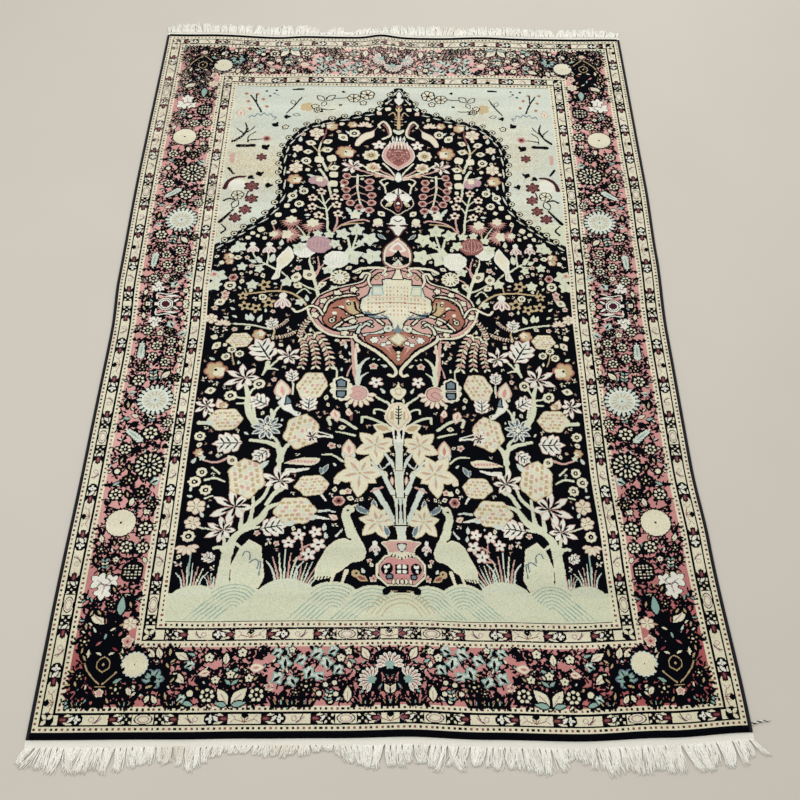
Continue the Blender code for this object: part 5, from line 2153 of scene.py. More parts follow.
    def vase(self) -> None:
        """Paints the eight-sided vase on its black foot."""
        c = self.chart.at(0, 336)
        for side in (-1, 1):
            c.disc(side * 30, -47, 8, BLACK)
        c.rectangle(-32, -47, 32, -38, BLACK)
        c.shape(((-49, -15), (-49, 13), (-33, 33), (33, 33), (49, 13), (49, -15), (28, -37), (-28, -37)),
                (BLACK, -1.0), IVORY, (BLACK, 4.4), (PALE_PINK, 5.8), (ROSE, 9.0), smooth=False)
        c.shape(((-26, 34), (26, 34), (30, 48), (37, 64), (-37, 64), (-30, 48)), IVORY, (PALE_PINK, 2.6))
        c.shape(((-28, 36), (-14, 26), (0, 22), (14, 26), (28, 36), (0, 40)), IVORY)
        for step in range(-3, 4):
            c.leaf(step * 7.5, 20 + abs(step) * 2.2, 9, 3, 90 + step * 8, BLACK)
        c.shape(((-8, 56), (-6, 46), (0, 40), (6, 46), (8, 56)), (BLACK, -2.0), CELADON)
        for step in range(-2, 3):
            c.leaf(step * 8.5, -34, 13, 6, 90, *edged(IVORY, width=1.4))
        c.rectangle(-13, -11, 13, 11, BLACK)
        c.flower(0, 0, 12, 4, WHITE, notch=0.4, turn=45)
        c.rectangle(-1, -10, 1, 10, BLACK)
        c.rectangle(-10, -1, 10, 1, BLACK)
        for side in (-1, 1):
            c.disc(side * 29, 2, 11.5, BLACK, squash=1.1)
            for turn in (60, 120, 250):
                c.leaf(side * 29, 2, 10, 6, turn, WHITE)
            c.disc(side * 24, -16, 7.5, BLACK, (SLATE, 3.0))

    def stem(self) -> None:
        """Paints the jointed celadon stem with its side stalks, and the lotus on it."""
        c = self.chart
        for side in (-1, 1):
            c.stroke(
                ((side * 10, 432), (side * 24, 466), (side * 42, 506), (side * 50, 520)), 8, CELADON, tip=15
            )
            c.stroke(((side * 36, 528), (side * 60, 518)), 4.4, PALE_PINK, smooth=False)
            c.stroke(
                ((side * 9, 500), (side * 22, 530), (side * 36, 562), (side * 58, 590)), 12, CELADON, tip=6
            )
            c.stroke(((side * 8, 572), (side * 20, 596), (side * 30, 612)), 9, CELADON, tip=5)
            c.leaf(side * 14, 530, 24, 8, 90 - side * 6, PALE_PINK, (IVORY, 2.0))
            c.leaf(side * 26, 548, 20, 6, 90 - side * 10, IVORY)
            c.stroke(((side * 16, 590), (side * 34, 574), (side * 42, 586)), 4, CELADON, tip=2)
        for low, high, wide in ((398, 440, 13.5), (436, 506, 16.5), (502, 572, 13.0), (568, 642, 12.0)):
            c.shape(((-wide * 0.62, low), (-wide * 0.7, high - 18), (-wide, high), (wide, high),
                     (wide * 0.7, high - 18), (wide * 0.62, low)), (BLACK, -2.2), IVORY, (CELADON, 2.4),
                     smooth=False)
        for side in (-1, 1):
            c.leaf(side * 5.5, 438, 62, 4.4, 90 + side * 2, BLACK)
            c.leaf(side * 5.5, 642, 40, 5.5, 90, BLACK)
        c.shape(((-10, 640), (-16, 682), (16, 682), (10, 640)), WHITE, smooth=False)
        for side in (-1, 1):
            c.leaf(side * 6, 644, 40, 5.5, 90, BLACK)
            c.leaf(side * 12, 668, 46, 26, 90 - side * 66, IVORY, (TAN, 6))
        c.shape(((0, 664), (-22, 690), (-30, 708), (-20, 736), (-9, 744), (9, 744), (20, 736), (30, 708),
                 (22, 690)),
                IVORY, (PALE_PINK, 5.0), (IVORY, 7.0))
        for side in (-1, 1):
            c.leaf(side * 14, 742, 16, 5, 90 + side * 12, IVORY)
        c.stroke(((0, 686), (0, 736)), 2.0, BLACK, smooth=False)
        for y in (700, 708, 716, 724):
            for side in (-1, 1):
                c.leaf(0, y, 10, 2.8, 90 - side * 58, BLACK)
        for side in (-1, 1):
            c.rectangle(side * 14 - 3, 698, side * 14 + 3, 722, TAN)
        c.shape(
            ((0, 803), (-6, 786), (-18, 780), (-15, 766), (0, 752), (15, 766), (18, 780), (6, 786)), IVORY
        )
        c.disc(0, 775, 8, TAN, (IVORY, 2.4), squash=1.4)
        globe = self.at(-72, 772)
        for x, y, turn in round_the(8, 16, turn=186, sweep=190):
            globe.leaf(x, y, 24, 11, turn, PALE_PINK, (IVORY, 1.4), belly=0.6)
        globe.disc(0, 0, 22.5, IVORY, (LILAC, 2.4), (PALE_PINK, 4.6))
        globe.stroke(((-12, -4), (-4, 6), (8, 2), (4, -8), (-6, -12)), 1.6, LILAC)
        shield = self.at(-112, 784)
        for x, y, turn in round_the(10, 22):
            shield.disc(x * 0.8, y * 1.15, 8.5, IVORY)
        shield.shape(((-13, 2), (-13, 22), (0, 30), (13, 22), (13, 2)), (WHITE, -2), BLACK, (SLATE, 4.5),
                     smooth=False)
        shield.shape(((-13, -4), (-11, -24), (6, -27), (13, -18), (13, -4)), (WHITE, -2), BLACK,
                     (SLATE, 4.0),
                     smooth=False)

    def medallion(self) -> None:
        """Paints the medallion: rose and terracotta lobes round a stepped ivory middle."""
        c = self.chart
        self.patch(((14, 838), (-6, 864), (-34, 896), (-62, 914), (-80, 932), (-126, 934), (-152, 944),
                    (-176, 966), (-192, 1000), (-186, 1020), (-178, 1044), (-160, 1064), (-120, 1086),
                    (-74, 1102), (-60, 1126), (-40, 1146), (-12, 1150), (30, 1150), (60, 1050)),
                    (IVORY, -3.0), BLACK, (ROSE, 4.6),
                   (PALE_PINK, 8.0), (BLACK, 12.0), (PALE_PINK, 16.4))
        self.patch(((-86, 1058), (-116, 1052), (-142, 1034), (-154, 1012), (-162, 984), (-150, 962),
                    (-130, 952), (-112, 968), (-96, 984), (-72, 998), (-70, 1030)), BLACK,
                    (TERRACOTTA, 3.6))
        self.patch(((-88, 1046), (-108, 1036), (-100, 1008), (-84, 1000), (-76, 1020)), TAN)
        for x, y, radius in ((-118, 1022, 6), (-133, 1003, 5), (-104, 1042, 4)):
            self.at(x, y).disc(0, 0, radius, IVORY, (WHITE, 1.6))
        self.at(-138, 981).disc(0, 0, 10, BLACK, (IVORY, 3.4), (BLACK, 6.6))
        for x, y in (
            (-92, 1078), (-128, 1066), (-158, 1040), (-178, 996), (-92, 980), (-44, 926), (-108, 944)
        ):
            self.at(x, y).flower(0, 0, 9, 5, (BLACK, -3.4), IVORY, notch=0.34)
        self.line(((-84, 1062), (-122, 1056), (-148, 1036), (-158, 1004)), 5, *edged(IVORY, width=3.8))
        self.line(
            ((-132, 958), (-104, 986), (-66, 1000), (-44, 994), (-22, 972)), 5, *edged(IVORY, width=3.8)
        )
        self.line(((-122, 955), (-92, 960), (-64, 972), (-52, 978)), 7, *edged(CELADON, width=3.6), tip=10)
        self.line(((-78, 946), (-84, 938), (-80, 924), (-58, 908), (-30, 886), (-6, 858), (10, 832),
                   (4, 818), (-6, 822)), 8, *edged(IVORY, width=3.8), tip=7)
        self.line(((-78, 946), (-74, 960), (-60, 974), (-50, 968)), 8, *edged(CELADON, width=3.6), tip=5)
        self.line(((-64, 940), (-36, 944), (-14, 956)), 6, *edged(CELADON, width=3.4), tip=9)
        self.line(((-232, 1014), (-224, 1004), (-208, 1010), (-190, 1022), (-172, 1018), (-160, 998)), 5.5,
                  *edged(IVORY, width=3.6))
        self.line(((-196, 1014), (-190, 992), (-174, 966), (-150, 944), (-122, 934), (-84, 932)), 5, IVORY)
        self.patch(((14, 842), (-4, 866), (-28, 896), (-60, 920), (-58, 940), (-20, 944), (14, 946)), BLACK,
                   (TERRACOTTA, 2.0), (PALE_PINK, 12.0))
        self.at(-40, 925).flower(0, 0, 10, 6, (BLACK, -1.8), WHITE, notch=0.3)
        for x, y in ((-8, 914), (-20, 910)):
            self.at(x, y).flower(0, 0, 6, 4, (BLACK, -2.0), WHITE, notch=0.3, turn=45)
        outline = ((-15, 1112), (-34, 1110), (-34, 1092), (-60, 1092), (-68, 1062), (-84, 1050),
                   (-86, 1020), (-74, 1000), (-50, 992), (-22, 988), (-12, 972), (-14, 956), (0, 950))
        whole = [(x, y) for x, y in outline] + [(-x, y) for x, y in reversed(outline)]
        c.shape(whole, (BLACK, -4.0), CELADON, (IVORY, 4.0), smooth=False)
        for side in (-1, 1):
            c.shape(((side * 32, 1060), (side * 62, 1060), (side * 62, 1090), (side * 36, 1090)), TEAL,
                    (CELADON, 2.6), smooth=False)
            c.disc(side * 50, 1076, 5, IVORY)
            c.leaf(side * 78, 1012, 34, 12, 180 - side * 90 + side * -52, SLATE)
            c.leaf(side * 20, 990, 44, 11, 90 - side * 72, SLATE, (CELADON, 4.0))
        for row, y in enumerate((1084, 1072, 1060, 1048, 1036, 1024, 1012, 1000)):
            for step in range(-8, 9):
                if abs(step) * 8.6 < (28 if y > 1064 else 74 if y > 1004 else 50):
                    yarn = (TAN, PALE_PINK, SAGE, TERRACOTTA, TAN, TEAL, PALE_PINK)[(row * 3 + step) % 7]
                    c.rectangle(step * 8.6 - 1.8, y - 3.0, step * 8.6 + 1.8, y + 3.0, yarn)
        for y in (1054, 1018):
            c.stroke(((-66, y), (66, y)), 1.4, PALE_PINK, smooth=False)
        c.stroke(((-60, 1037), (60, 1037)), 1.6, TERRACOTTA, smooth=False)
        for side in (-1, 1):
            c.stroke(
                ((side * 90, 990), (side * 112, 1004), (side * 130, 1020), (side * 146, 1018)), 4.6, BLACK
            )
            c.stroke(((side * 128, 990), (side * 120, 978), (side * 108, 972)), 4.6, BLACK)
            c.stroke(
                ((side * 96, 1062), (side * 118, 1066), (side * 134, 1058), (side * 150, 1060)), 4.6, BLACK
            )
            c.stroke(
                ((side * 30, 1010), (side * 62, 1000), (side * 92, 1012), (side * 100, 1040)), 4.2, BLACK
            )
            for x, y in (
                (116, 1002), (142, 990), (112, 1034), (150, 1052), (60, 966), (84, 972), (36, 934)
            ):
                c.disc(side * x, y, 5.4, BLACK, (IVORY, 3.0))
        c.shape(((0, 948), (-24, 926), (0, 902), (24, 926)), (BLACK, -1.6), TAN, (IVORY, 5), smooth=False)
        c.shape(((0, 972), (-5, 958), (-14, 952), (0, 942), (14, 952), (5, 958)), SLATE, smooth=False)
        for side in (-1, 1):
            c.disc(side * 23, 957, 10.5, (BLACK, -1.6), IVORY, (CELADON, 2.6), (SLATE, 7.0))
        c.shape(((-22, 900), (22, 900), (0, 848)), TERRACOTTA, smooth=False)
        c.shape(
            ((-16, 908), (-6, 902), (0, 908), (6, 902), (16, 908), (8, 888), (-8, 888)), BLACK, smooth=False
        )
        for y, radius in ((886, 4.4), (875, 4.0), (866, 4.2)):
            c.disc(0, y, radius, (BLACK, -1.4), IVORY)

    def crest(self) -> None:
        """Paints what stands on the medallion up to the niche's top: a drop, a cup, a lantern and a peony."""
        c = self.chart
        for side in (-1, 1):
            c.stroke(((side * 36, 1128), (side * 30, 1146), (side * 60, 1150), (side * 88, 1146),
                      (side * 104, 1136)),
                     6, *edged(IVORY, width=1.8), tip=8)
            c.stroke(((side * 64, 1090), (side * 70, 1110), (side * 66, 1128), (side * 80, 1132),
                      (side * 88, 1118)),
                     5, *edged(IVORY, width=1.8), tip=8)
            c.flower(side * 28, 1126, 6.5, 4, (BLACK, -1.6), IVORY, notch=0.3)
            c.flower(side * 50, 1118, 6.5, 4, (BLACK, -1.6), TAN, notch=0.3)
        c.shape(((-14, 1112), (-6, 1132), (-2, 1156), (2, 1156), (6, 1132), (14, 1112)), (BLACK, -3), IVORY,
                smooth=False)
        c.shape(((0, 1254), (-16, 1236), (-34, 1214), (-38, 1180), (-28, 1154), (0, 1142), (28, 1154),
                 (38, 1180), (34, 1214), (16, 1236)), BROWN_ROSE, (BLACK, 2.0), (IVORY, 3.4),
                 (PALE_PINK, 8.0))
        c.shape(
            ((0, 1236), (-14, 1222), (-20, 1206), (0, 1198), (20, 1206), (14, 1222)), WHITE, (PALE_PINK, 7)
        )
        c.shape(((0, 1208), (-12, 1188), (-30, 1184), (-30, 1168), (-14, 1156), (0, 1160), (14, 1156),
                 (30, 1168), (30, 1184), (12, 1188)), BLACK, smooth=False)
        c.shape(((0, 1178), (-6, 1168), (-14, 1158), (-4, 1154), (0, 1164), (4, 1154), (14, 1158),
                 (6, 1168)),
                CELADON, smooth=False)
        c.shape(((0, 1300), (-8, 1288), (-20, 1286), (-12, 1276), (-6, 1262), (0, 1256), (6, 1262),
                 (12, 1276), (20, 1286), (8, 1288)), (BROWN_ROSE, -3.0), (BLACK, -1.6), WHITE)
        c.shape(((-28, 1297), (-20, 1300), (-16, 1318), (0, 1328), (16, 1318), (20, 1300), (28, 1297),
                 (10, 1294), (-10, 1294)), WHITE)
        c.stroke(((-10, 1312), (0, 1305), (10, 1312)), 3.0, BLACK)
        c.shape(((0, 1428), (-24, 1408), (-42, 1382), (-40, 1360), (-18, 1340), (0, 1326), (18, 1340),
                 (40, 1360), (42, 1382), (24, 1408)), MAROON, (IVORY, 2.0), (BLACK, 4.2))
        for side in (-1, 1):
            c.flower(side * 18, 1392, 17, 5, WHITE, notch=0.2, turn=90 - side * 20)
            c.leaf(side * 12, 1376, 26, 10, 90 - side * 130, IVORY)
            c.disc(side * 22, 1364, 5, TAN)
        c.leaf(0, 1400, 26, 18, 90, WHITE)
        c.rectangle(-1.6, 1402, 1.6, 1426, BLACK)
        c.shape(((0, 1398), (-8, 1382), (-10, 1360), (0, 1338), (10, 1360), (8, 1382)), BROWN_ROSE,
                (MAROON, 2.4))
        c.disc(0, 1370, 4.4, WHITE)
        c.disc(0, 1356, 4.8, TERRACOTTA)
        for side in (-1, 1):
            c.stroke(((side * 30, 1408), (side * 34, 1432), (side * 44, 1452), (side * 30, 1462),
                      (side * 12, 1456)),
                     4.4, IVORY, tip=4)
            c.stroke(((side * 44, 1448), (side * 36, 1436), (side * 28, 1444)), 3.4, IVORY, tip=6)
            for lean, yarn in ((14, IVORY), (30, PALE_PINK), (46, IVORY), (64, PALE_PINK)):
                c.stroke(((side * 3, 1456), (side * lean * 0.8, 1476), (side * lean * 1.5, 1494),
                          (side * (lean * 1.9 + 12), 1520)), 4.0, yarn, tip=4.6)
        c.shape(((0, 1446), (-10, 1456), (-8, 1476), (0, 1486), (8, 1476), (10, 1456)), SLATE, (WHITE, 2.0))
        c.shape(((0, 1492), (-24, 1512), (-42, 1540), (-40, 1570), (-24, 1596), (0, 1602), (24, 1596),
                 (40, 1570), (42, 1540), (24, 1512)), WHITE, (PALE_PINK, 2.4), (BROWN_ROSE, 12.0))
        for step in range(-3, 4):
            c.stroke(((step * 9.0, 1576), (step * 7.4, 1604)), 3.4, (WHITE if step % 2 else CELADON, 0))
        rng = np.random.default_rng(self.seed)
        for _ in range(46):
            x, y = rng.uniform(-30, 30), rng.uniform(1516, 1576)
            if abs(x) < 34 - abs(y - 1548) * 0.6:
                c.rectangle(
                    x - 1.6, y - 1.8, x + 1.6, y + 1.8, (MAROON if rng.random() < 0.3 else PALE_PINK, 0)
                )
        for side in (-1, 1):
            c.leaf(side * 12, 1598, 28, 8, 90 - side * 8, WHITE, (BLACK, 2.6))
            c.leaf(side * 4, 1600, 26, 6, 90 - side * 3, WHITE)
            c.stroke(((side * 42, 1616), (side * 22, 1630), (side * 26, 1662), (side * 40, 1686),
                      (side * 54, 1672), (side * 50, 1662)), 7, IVORY, tip=6)
            c.stroke(((side * 26, 1634), (side * 31, 1660), (side * 41, 1674)), 5, BROWN_ROSE, tip=6)
            c.shape(((side * 56, 1664), (side * 64, 1650), (side * 66, 1626), (side * 84, 1612),
                     (side * 104, 1588), (side * 112, 1592), (side * 106, 1616), (side * 92, 1636),
                     (side * 72, 1648)), PALE_PINK,
                    (IVORY, 1.6))
            c.stroke(((side * 6, 1700), (side * 14, 1722), (side * 28, 1712)), 4, TAN, tip=3)
            for y in (1668, 1680, 1692, 1704):
                c.leaf(0, y, 15, 5, 90 - side * 68, (TAN if y % 24 else BROWN_ROSE, 0))
            c.leaf(0, 1722, 22, 6, 90 - side * 24, TAN)
        c.stroke(((0, 1658), (0, 1700), (0, 1744)), 9, TAN, tip=5)
        c.shape(
            ((-14, 1654), (-14, 1644), (0, 1632), (14, 1644), (14, 1654), (0, 1648)), IVORY, (CELADON, 2)
        )
        c.rectangle(-8, 1744, 8, 1751, BROWN_ROSE)
        c.shape(((0, 1752), (-10, 1766), (-12, 1778), (-5, 1784), (-7, 1796), (0, 1810), (7, 1796),
                 (5, 1784), (12, 1778), (10, 1766)), WHITE)

    def niche(self) -> None:
        """Paints the pale spandrel outside the niche, its edge of beads and leaves, and its sprigs."""
        self.patch((*NICHE_EDGE, (15, 1840), (-440, 1840)), CELADON, smooth=False)
        self.at(-232, 1740).flower(0, 0, 19, 5, TAN, notch=0.2)
        self.at(-396, 1434).disc(0, 0, 24, IVORY, (WHITE, 4))
        for x, y in ((-405, 1798), (-373, 1798), (-355, 1775), (-397, 1766), (-343, 1745), (-390, 1735)):
            self.at(x, y).flower(0, 0, 6.5, 4, TAN, (TERRACOTTA, 1.6), notch=0.3)
        for x, y in ((-348, 1812), (-320, 1815), (-337, 1790), (-325, 1802)):
            self.at(x, y).disc(0, 0, 4.2, SLATE, (BLACK, 1.4))
        edge = [self.straight(*point) for point in NICHE_EDGE]
        for (ax, ay), (bx, by) in zip(edge, edge[1:]):
            reach, turn = math.hypot(bx - ax, by - ay), math.degrees(math.atan2(by - ay, bx - ax))
            side = self.chart.at(ax, ay, turn)
            side.leaf(0, 0, reach * 1.1, 13, 8, BLACK)
            side.leaf(reach * 0.3, -4, reach * 0.8, 4.4, -6, CELADON)
        for x, y in NICHE_BEADS:
            bead = self.at(x, y)
            bead.disc(0, 0, 9.4, BLACK, (IVORY, 2.8))
            bead.disc(0, 0, 3.6, BLACK)

    def window(self) -> tuple[slice, slice]:
        """The rows and the columns of knots that the field takes up."""
        across, along = self.chart.knot_mm
        left = int((self.chart.width_mm / 2 - self.half) / across)
        return slice(int(self.near / along) + 1, int(self.far / along)), slice(
            left, self.chart.knots.shape[1] - left
        )

    def settle(self) -> None:
        """Mirrors the left half and lets the pattern wander a little, as it does on the loom."""
        knots, (across, along) = self.chart.knots, self.chart.knot_mm
        rows, span = self.window()
        columns = knots.shape[1]
        left, right = span.start, columns // 2
        knots[rows, right : columns - left] = knots[rows, left:right][:, ::-1]
        y = (np.arange(rows.start, rows.stop)[:, None] + 0.5) * along
        x = (np.arange(left, columns - left) + 0.5) * across - self.chart.width_mm / 2
        axis = np.interp(y, AXIS_PLACES, PATTERN_AXIS)
        share = np.where(x < axis, (x - axis) / (self.half + axis), (x - axis) / (self.half - axis))
        calm = np.clip((1 - share**2) * 4, 0, 1)
        ends = np.clip(np.minimum(y - self.near, self.far - y) / 40, 0, 1)
        aside = 2.6 * calm * np.sin(x / 61 + y / 93) * np.clip(np.abs(share) * 6, 0, 1)
        along_by = 3.4 * ends * np.sin(x / 118 + 0.8) * np.clip(np.abs(share) * 5, 0, 1)
        source = ((share * self.half + aside) + self.chart.width_mm / 2) / across
        source_row = (y + along_by) / along
        picked = knots[np.clip(source_row.astype(int), rows.start, rows.stop - 1),
                       np.clip(source.astype(int), left, columns - left - 1)]
        lots = (x > axis) & (y > 640) & (y < 1300)
        for yarn, other in ((CELADON, SAGE), (LILAC, BROWN_ROSE)):
            picked = np.where(lots & (picked == yarn), np.uint8(other), picked)
        knots[rows, span] = picked

    def fill(self) -> None:
        """Fills the free black ground of the left half with small leaves and buds."""
        rng = np.random.default_rng(self.seed)
        across, along = self.chart.knot_mm
        left = int((self.chart.width_mm / 2 - self.half) / across)
        kinds = (Motif.TWIG, Motif.CURL, Motif.DROP, Motif.CURL, Motif.EYE_LEAF, Motif.PINK, Motif.TWIG)
        for clear, tries, size in ((14.0, 1400, 1.0), (9.5, 2400, 0.66), (6.5, 1700, 0.46)):
            columns, rows = int(clear / across), int(clear / along)
            for _ in range(tries):
                x, y = rng.uniform(-self.half + clear, -clear), rng.uniform(self.near + 110, self.far)
                column, row = int((x + self.chart.width_mm / 2) / across), int(y / along)
                first = max(left, column - columns)
                if not self.chart.knots[row - rows : row + rows, first : column + columns].any():
                    kind = kinds[rng.integers(len(kinds))]
                    DRAWN[kind](self.chart.at(x, y, rng.uniform(0, 360), size * rng.uniform(0.85, 1.1)))

    def weather(self) -> None:
        """Mottles the pale spandrels, where the celadon yarn runs into ivory and tan."""
        rng = np.random.default_rng(self.seed + 1)
        knots, (x, y) = self.chart.knots, self.chart.knot_places
        for left, bottom, reach, share in ((-400, 1530, 70, 0.8), (-320, 1500, 60, 0.85),
                                           (-420, 1290, 60, 0.5), (-180, 1720, 60, 0.35),
                                           (-420, 1740, 50, 0.35), (360, 1300, 70, 0.5),
                                           (340, 1560, 80, 0.6), (230, 1700, 60, 0.4)):
            near = share * np.exp(-((x - left) ** 2 + ((y - bottom) * 0.7) ** 2) / reach**2)
            strewn = (rng.random(knots.shape) < near) & (knots == CELADON) & (y > 1240)
            knots[strewn] = IVORY
            knots[strewn & (rng.random(knots.shape) < self.tan_share)] = TAN

    def wear(self) -> None:
        """Thins the dark yarn where the rug is worn: along the far border and at the left edge."""
        rng = np.random.default_rng(self.seed + 2)
        knots, (x, y) = self.chart.knots, self.chart.knot_places
        inner = (y > 14) & (y < self.chart.length_mm - 16) & (np.abs(x) < self.chart.width_mm / 2 - 9)
        for middle_x, middle_y, reach_x, reach_y, share in (
            (-60, 1965, 240, 80, 0.24), (-630, 1820, 40, 330, 0.40), (-200, 2035, 330, 30, 0.30),
            (-460, 1850, 90, 50, 0.25), (-450, 1560, 40, 260, 0.22), (0, 205, 330, 22, 0.16),
            (300, 1960, 160, 50, 0.12),
        ):
            near = share * np.exp(-(((x - middle_x) / reach_x) ** 2) - ((y - middle_y) / reach_y) ** 2)
            thin = (rng.random(knots.shape) < near) & (knots == BLACK) & inner
            knots[thin] = BROWN_ROSE
            knots[thin & (rng.random(knots.shape) < self.pink_share)] = PALE_PINK
            knots[thin & (rng.random(knots.shape) < self.celadon_share)] = CELADON

    def paint(self) -> None:
        """Paints the whole field inside its own frame."""
        chart = self.chart
        bordered = chart.knots.copy()
        chart.rectangle(-self.half - 2, self.near, 12, self.far, BLACK)
        self.niche()
        for limb in LIMBS:
            self.line(limb.points, limb.width, (limb.yarn, 0), tip=limb.tip)
        for spot in (*FIELD_SPOTS, *SPANDREL_SPOTS):
            DRAWN[spot.motif](self.at(spot.x, spot.y, spot.turn, spot.size))
        self.stone()
        self.hills()
        self.dove()
        self.crane()
        self.stem()
        self.vase()
        self.medallion()
        self.crest()
        self.fill()
        self.settle()
        self.weather()
        rows, columns = self.window()
        inside = np.zeros(chart.knots.shape, bool)
        inside[rows, columns] = True
        chart.knots[~inside] = bordered[~inside]
        self.wear()


@dataclass
class RugPattern:
    """The rug's design: a bordered niche with a flowering vase, trees, paired birds and hills."""

    chart: KnotChart

    def paint(self) -> None:
        """Paints the whole design."""
        RugBorder(self.chart).paint()
        RugField(self.chart).paint()


@dataclass
class KnottedSheet:
    """The knotted sheet's two faces: the pile above and the woven back below."""

    chart: KnotChart
    form: SheetForm = FORM
    wall_share: float = 0.70
    rim_inset: float = 0.0013
    cockle: float = 0.00035
    seed: int = 5

    def dye_depth(self, x: np.ndarray, y: np.ndarray) -> np.ndarray:
        """How deep the dye looks: deep at the near corners and down the right side, paler at the far end.
        This mixes real fading with painted light: the paler far end stands for the brighter light there.

        Args:
            x: The place across the flat rug, in metres from its middle.
            y: The place along it.

        Returns:
            The depth of the dye there, from 0 for faded to 1 for deep.
        """
        depth = np.full(x.shape, 0.30)
        # The entry at the far end, (0.0, 0.98), pales the colours for the brighter light there: painted
        # light.
        for px, py, radius, amount in (
            (-0.62, -0.95, 0.26, 0.55), (0.62, -0.95, 0.28, 0.60), (0.62, -0.30, 0.55, 0.18),
            # The depth there, from 0 for faded to 1 for deep, with painted light in it.
            (0.60, 0.55, 0.40, 0.06), (0.0, 0.98, 0.45, -0.30), (0.0, -0.92, 0.45, 0.30),
            (-0.60, 0.80, 0.30, 0.12),
        ):
            depth += amount * np.exp(-((x - px) ** 2 + (y - py) ** 2) / radius**2)
        depth += 0.10 * np.sin(31 * y + 3 * np.sin(4 * x)) * np.sin(9 * x + 1)
        return np.clip(depth, 0.0, 1.0)

    def slab(self, name: str, layers: Sequence[tuple[float, float]]) -> bpy.types.Object:
        """Builds one closed slab of the sheet.

        Args:
            name: The piece's name.
            layers: The height above the underside and the inset at the rim, for each level from below.

        Returns:
            The piece, with its knots, dye and maps.
        """
        bm = bmesh.new()
        bmesh.ops.create_grid(bm, x_segments=WEAVE.columns, y_segments=WEAVE.rows, size=0.5)
        level = bm.verts.layers.int.new("level")
        top = list(bm.faces)
        for index in range(1, len(layers)):
            grown = bmesh.ops.extrude_face_region(bm, geom=top)
            if index > 1:
                bmesh.ops.delete(bm, geom=top, context="FACES_ONLY")
            for item in grown["geom"]:
                if isinstance(item, bmesh.types.BMVert):
                    item[level] = index
            top = [item for item in grown["geom"] if isinstance(item, bmesh.types.BMFace)]
        bmesh.ops.translate(bm, verts=list({vert for face in top for vert in face.verts}), vec=(0, 0, 1))
        bmesh.ops.recalc_face_normals(bm, faces=bm.faces)
        mesh = bpy.data.meshes.new(name)
        bm.to_mesh(mesh)
        bm.free()
        self.weave(mesh)
        self.place(mesh, layers)
        piece = bpy.data.objects.new(name, mesh)
        bpy.context.scene.collection.objects.link(piece)
        mesh.shade_smooth()
        return piece

    def weave(self, mesh: bpy.types.Mesh) -> None:
        """Stores the chart and the maps on the mesh while it is still a unit square.

        Args:
            mesh: The sheet's mesh.
        """
        points = np.empty(len(mesh.vertices) * 3)
        mesh.vertices.foreach_get("co", points)
        points = points.reshape(-1, 3)
        centres = np.empty(len(mesh.polygons) * 3)
        mesh.polygons.foreach_get("center", centres)
        centres = centres.reshape(-1, 3)
        normals = np.empty(len(mesh.polygons) * 3)
        mesh.polygons.foreach_get("normal", normals)
        upright = np.abs(normals.reshape(-1, 3)[:, 2]) < 0.5
        column = np.clip(((centres[:, 0] + 0.5) * WEAVE.columns).astype(int), 0, WEAVE.columns - 1)
        row = np.clip(((centres[:, 1] + 0.5) * WEAVE.rows).astype(int), 0, WEAVE.rows - 1)
        numbers = WEAVE.digits(self.chart.knots)[row, column].astype(np.float32)
        numbers[upright] = 0.0
        for name, first in ((WEAVE.low, 0), (WEAVE.high, 3)):
            held = mesh.attributes.new(name, "FLOAT_VECTOR", "FACE")
            held.data.foreach_set("vector", numbers[:, first : first + 3].ravel())
        totals = np.empty(len(mesh.polygons), np.int32)
        mesh.polygons.foreach_get("loop_total", totals)
        owner = np.repeat(np.arange(len(mesh.polygons)), totals)
        corner = np.empty(len(mesh.loops), np.int32)
        mesh.loops.foreach_get("vertex_index", corner)
        flat = points[corner, :2]
        cells = np.array([WEAVE.columns, WEAVE.rows])
        inside = ((flat + 0.5) * cells - np.stack([column, row], 1)[owner]) * WEAVE.side
        grid = (flat + 0.5) * cells * WEAVE.side
        baked = (flat + 0.5) * 0.985
        low = (normals.reshape(-1, 3)[:, 2] < -0.5)[owner]
        wall = upright[owner]
        side = points[corner, 2]
        # The walls and the hidden face lie in narrow strips beside the shown face, so that none overlap.
        run = np.where(np.abs(centres[owner, 0]) > np.abs(centres[owner, 1]), flat[:, 1], flat[:, 0])
        baked[wall] = np.stack([0.988 + 0.004 * side, run + 0.5], 1)[wall]
        baked[low] = np.stack([0.995 + 0.004 * (flat[:, 0] + 0.5), flat[:, 1] + 0.5], 1)[low]
        for name, places in (("OFBake", baked), (WEAVE.place_map, inside), (WEAVE.grid_map, grid)):
            layer = mesh.uv_layers.new(name=name)
            layer.data.foreach_set("uv", places.astype(np.float32).ravel())
        mesh.uv_layers.active = mesh.uv_layers[WEAVE.place_map]
        mesh.uv_layers[WEAVE.place_map].active_render = True
        # The dye depth mixes real fading with painted light, paler at the far end.
        dye = mesh.attributes.new(WEAVE.dye, "FLOAT", "POINT")
        depth = self.dye_depth(points[:, 0] * self.form.width, points[:, 1] * self.form.length)
        dye.data.foreach_set("value", depth.astype(np.float32))

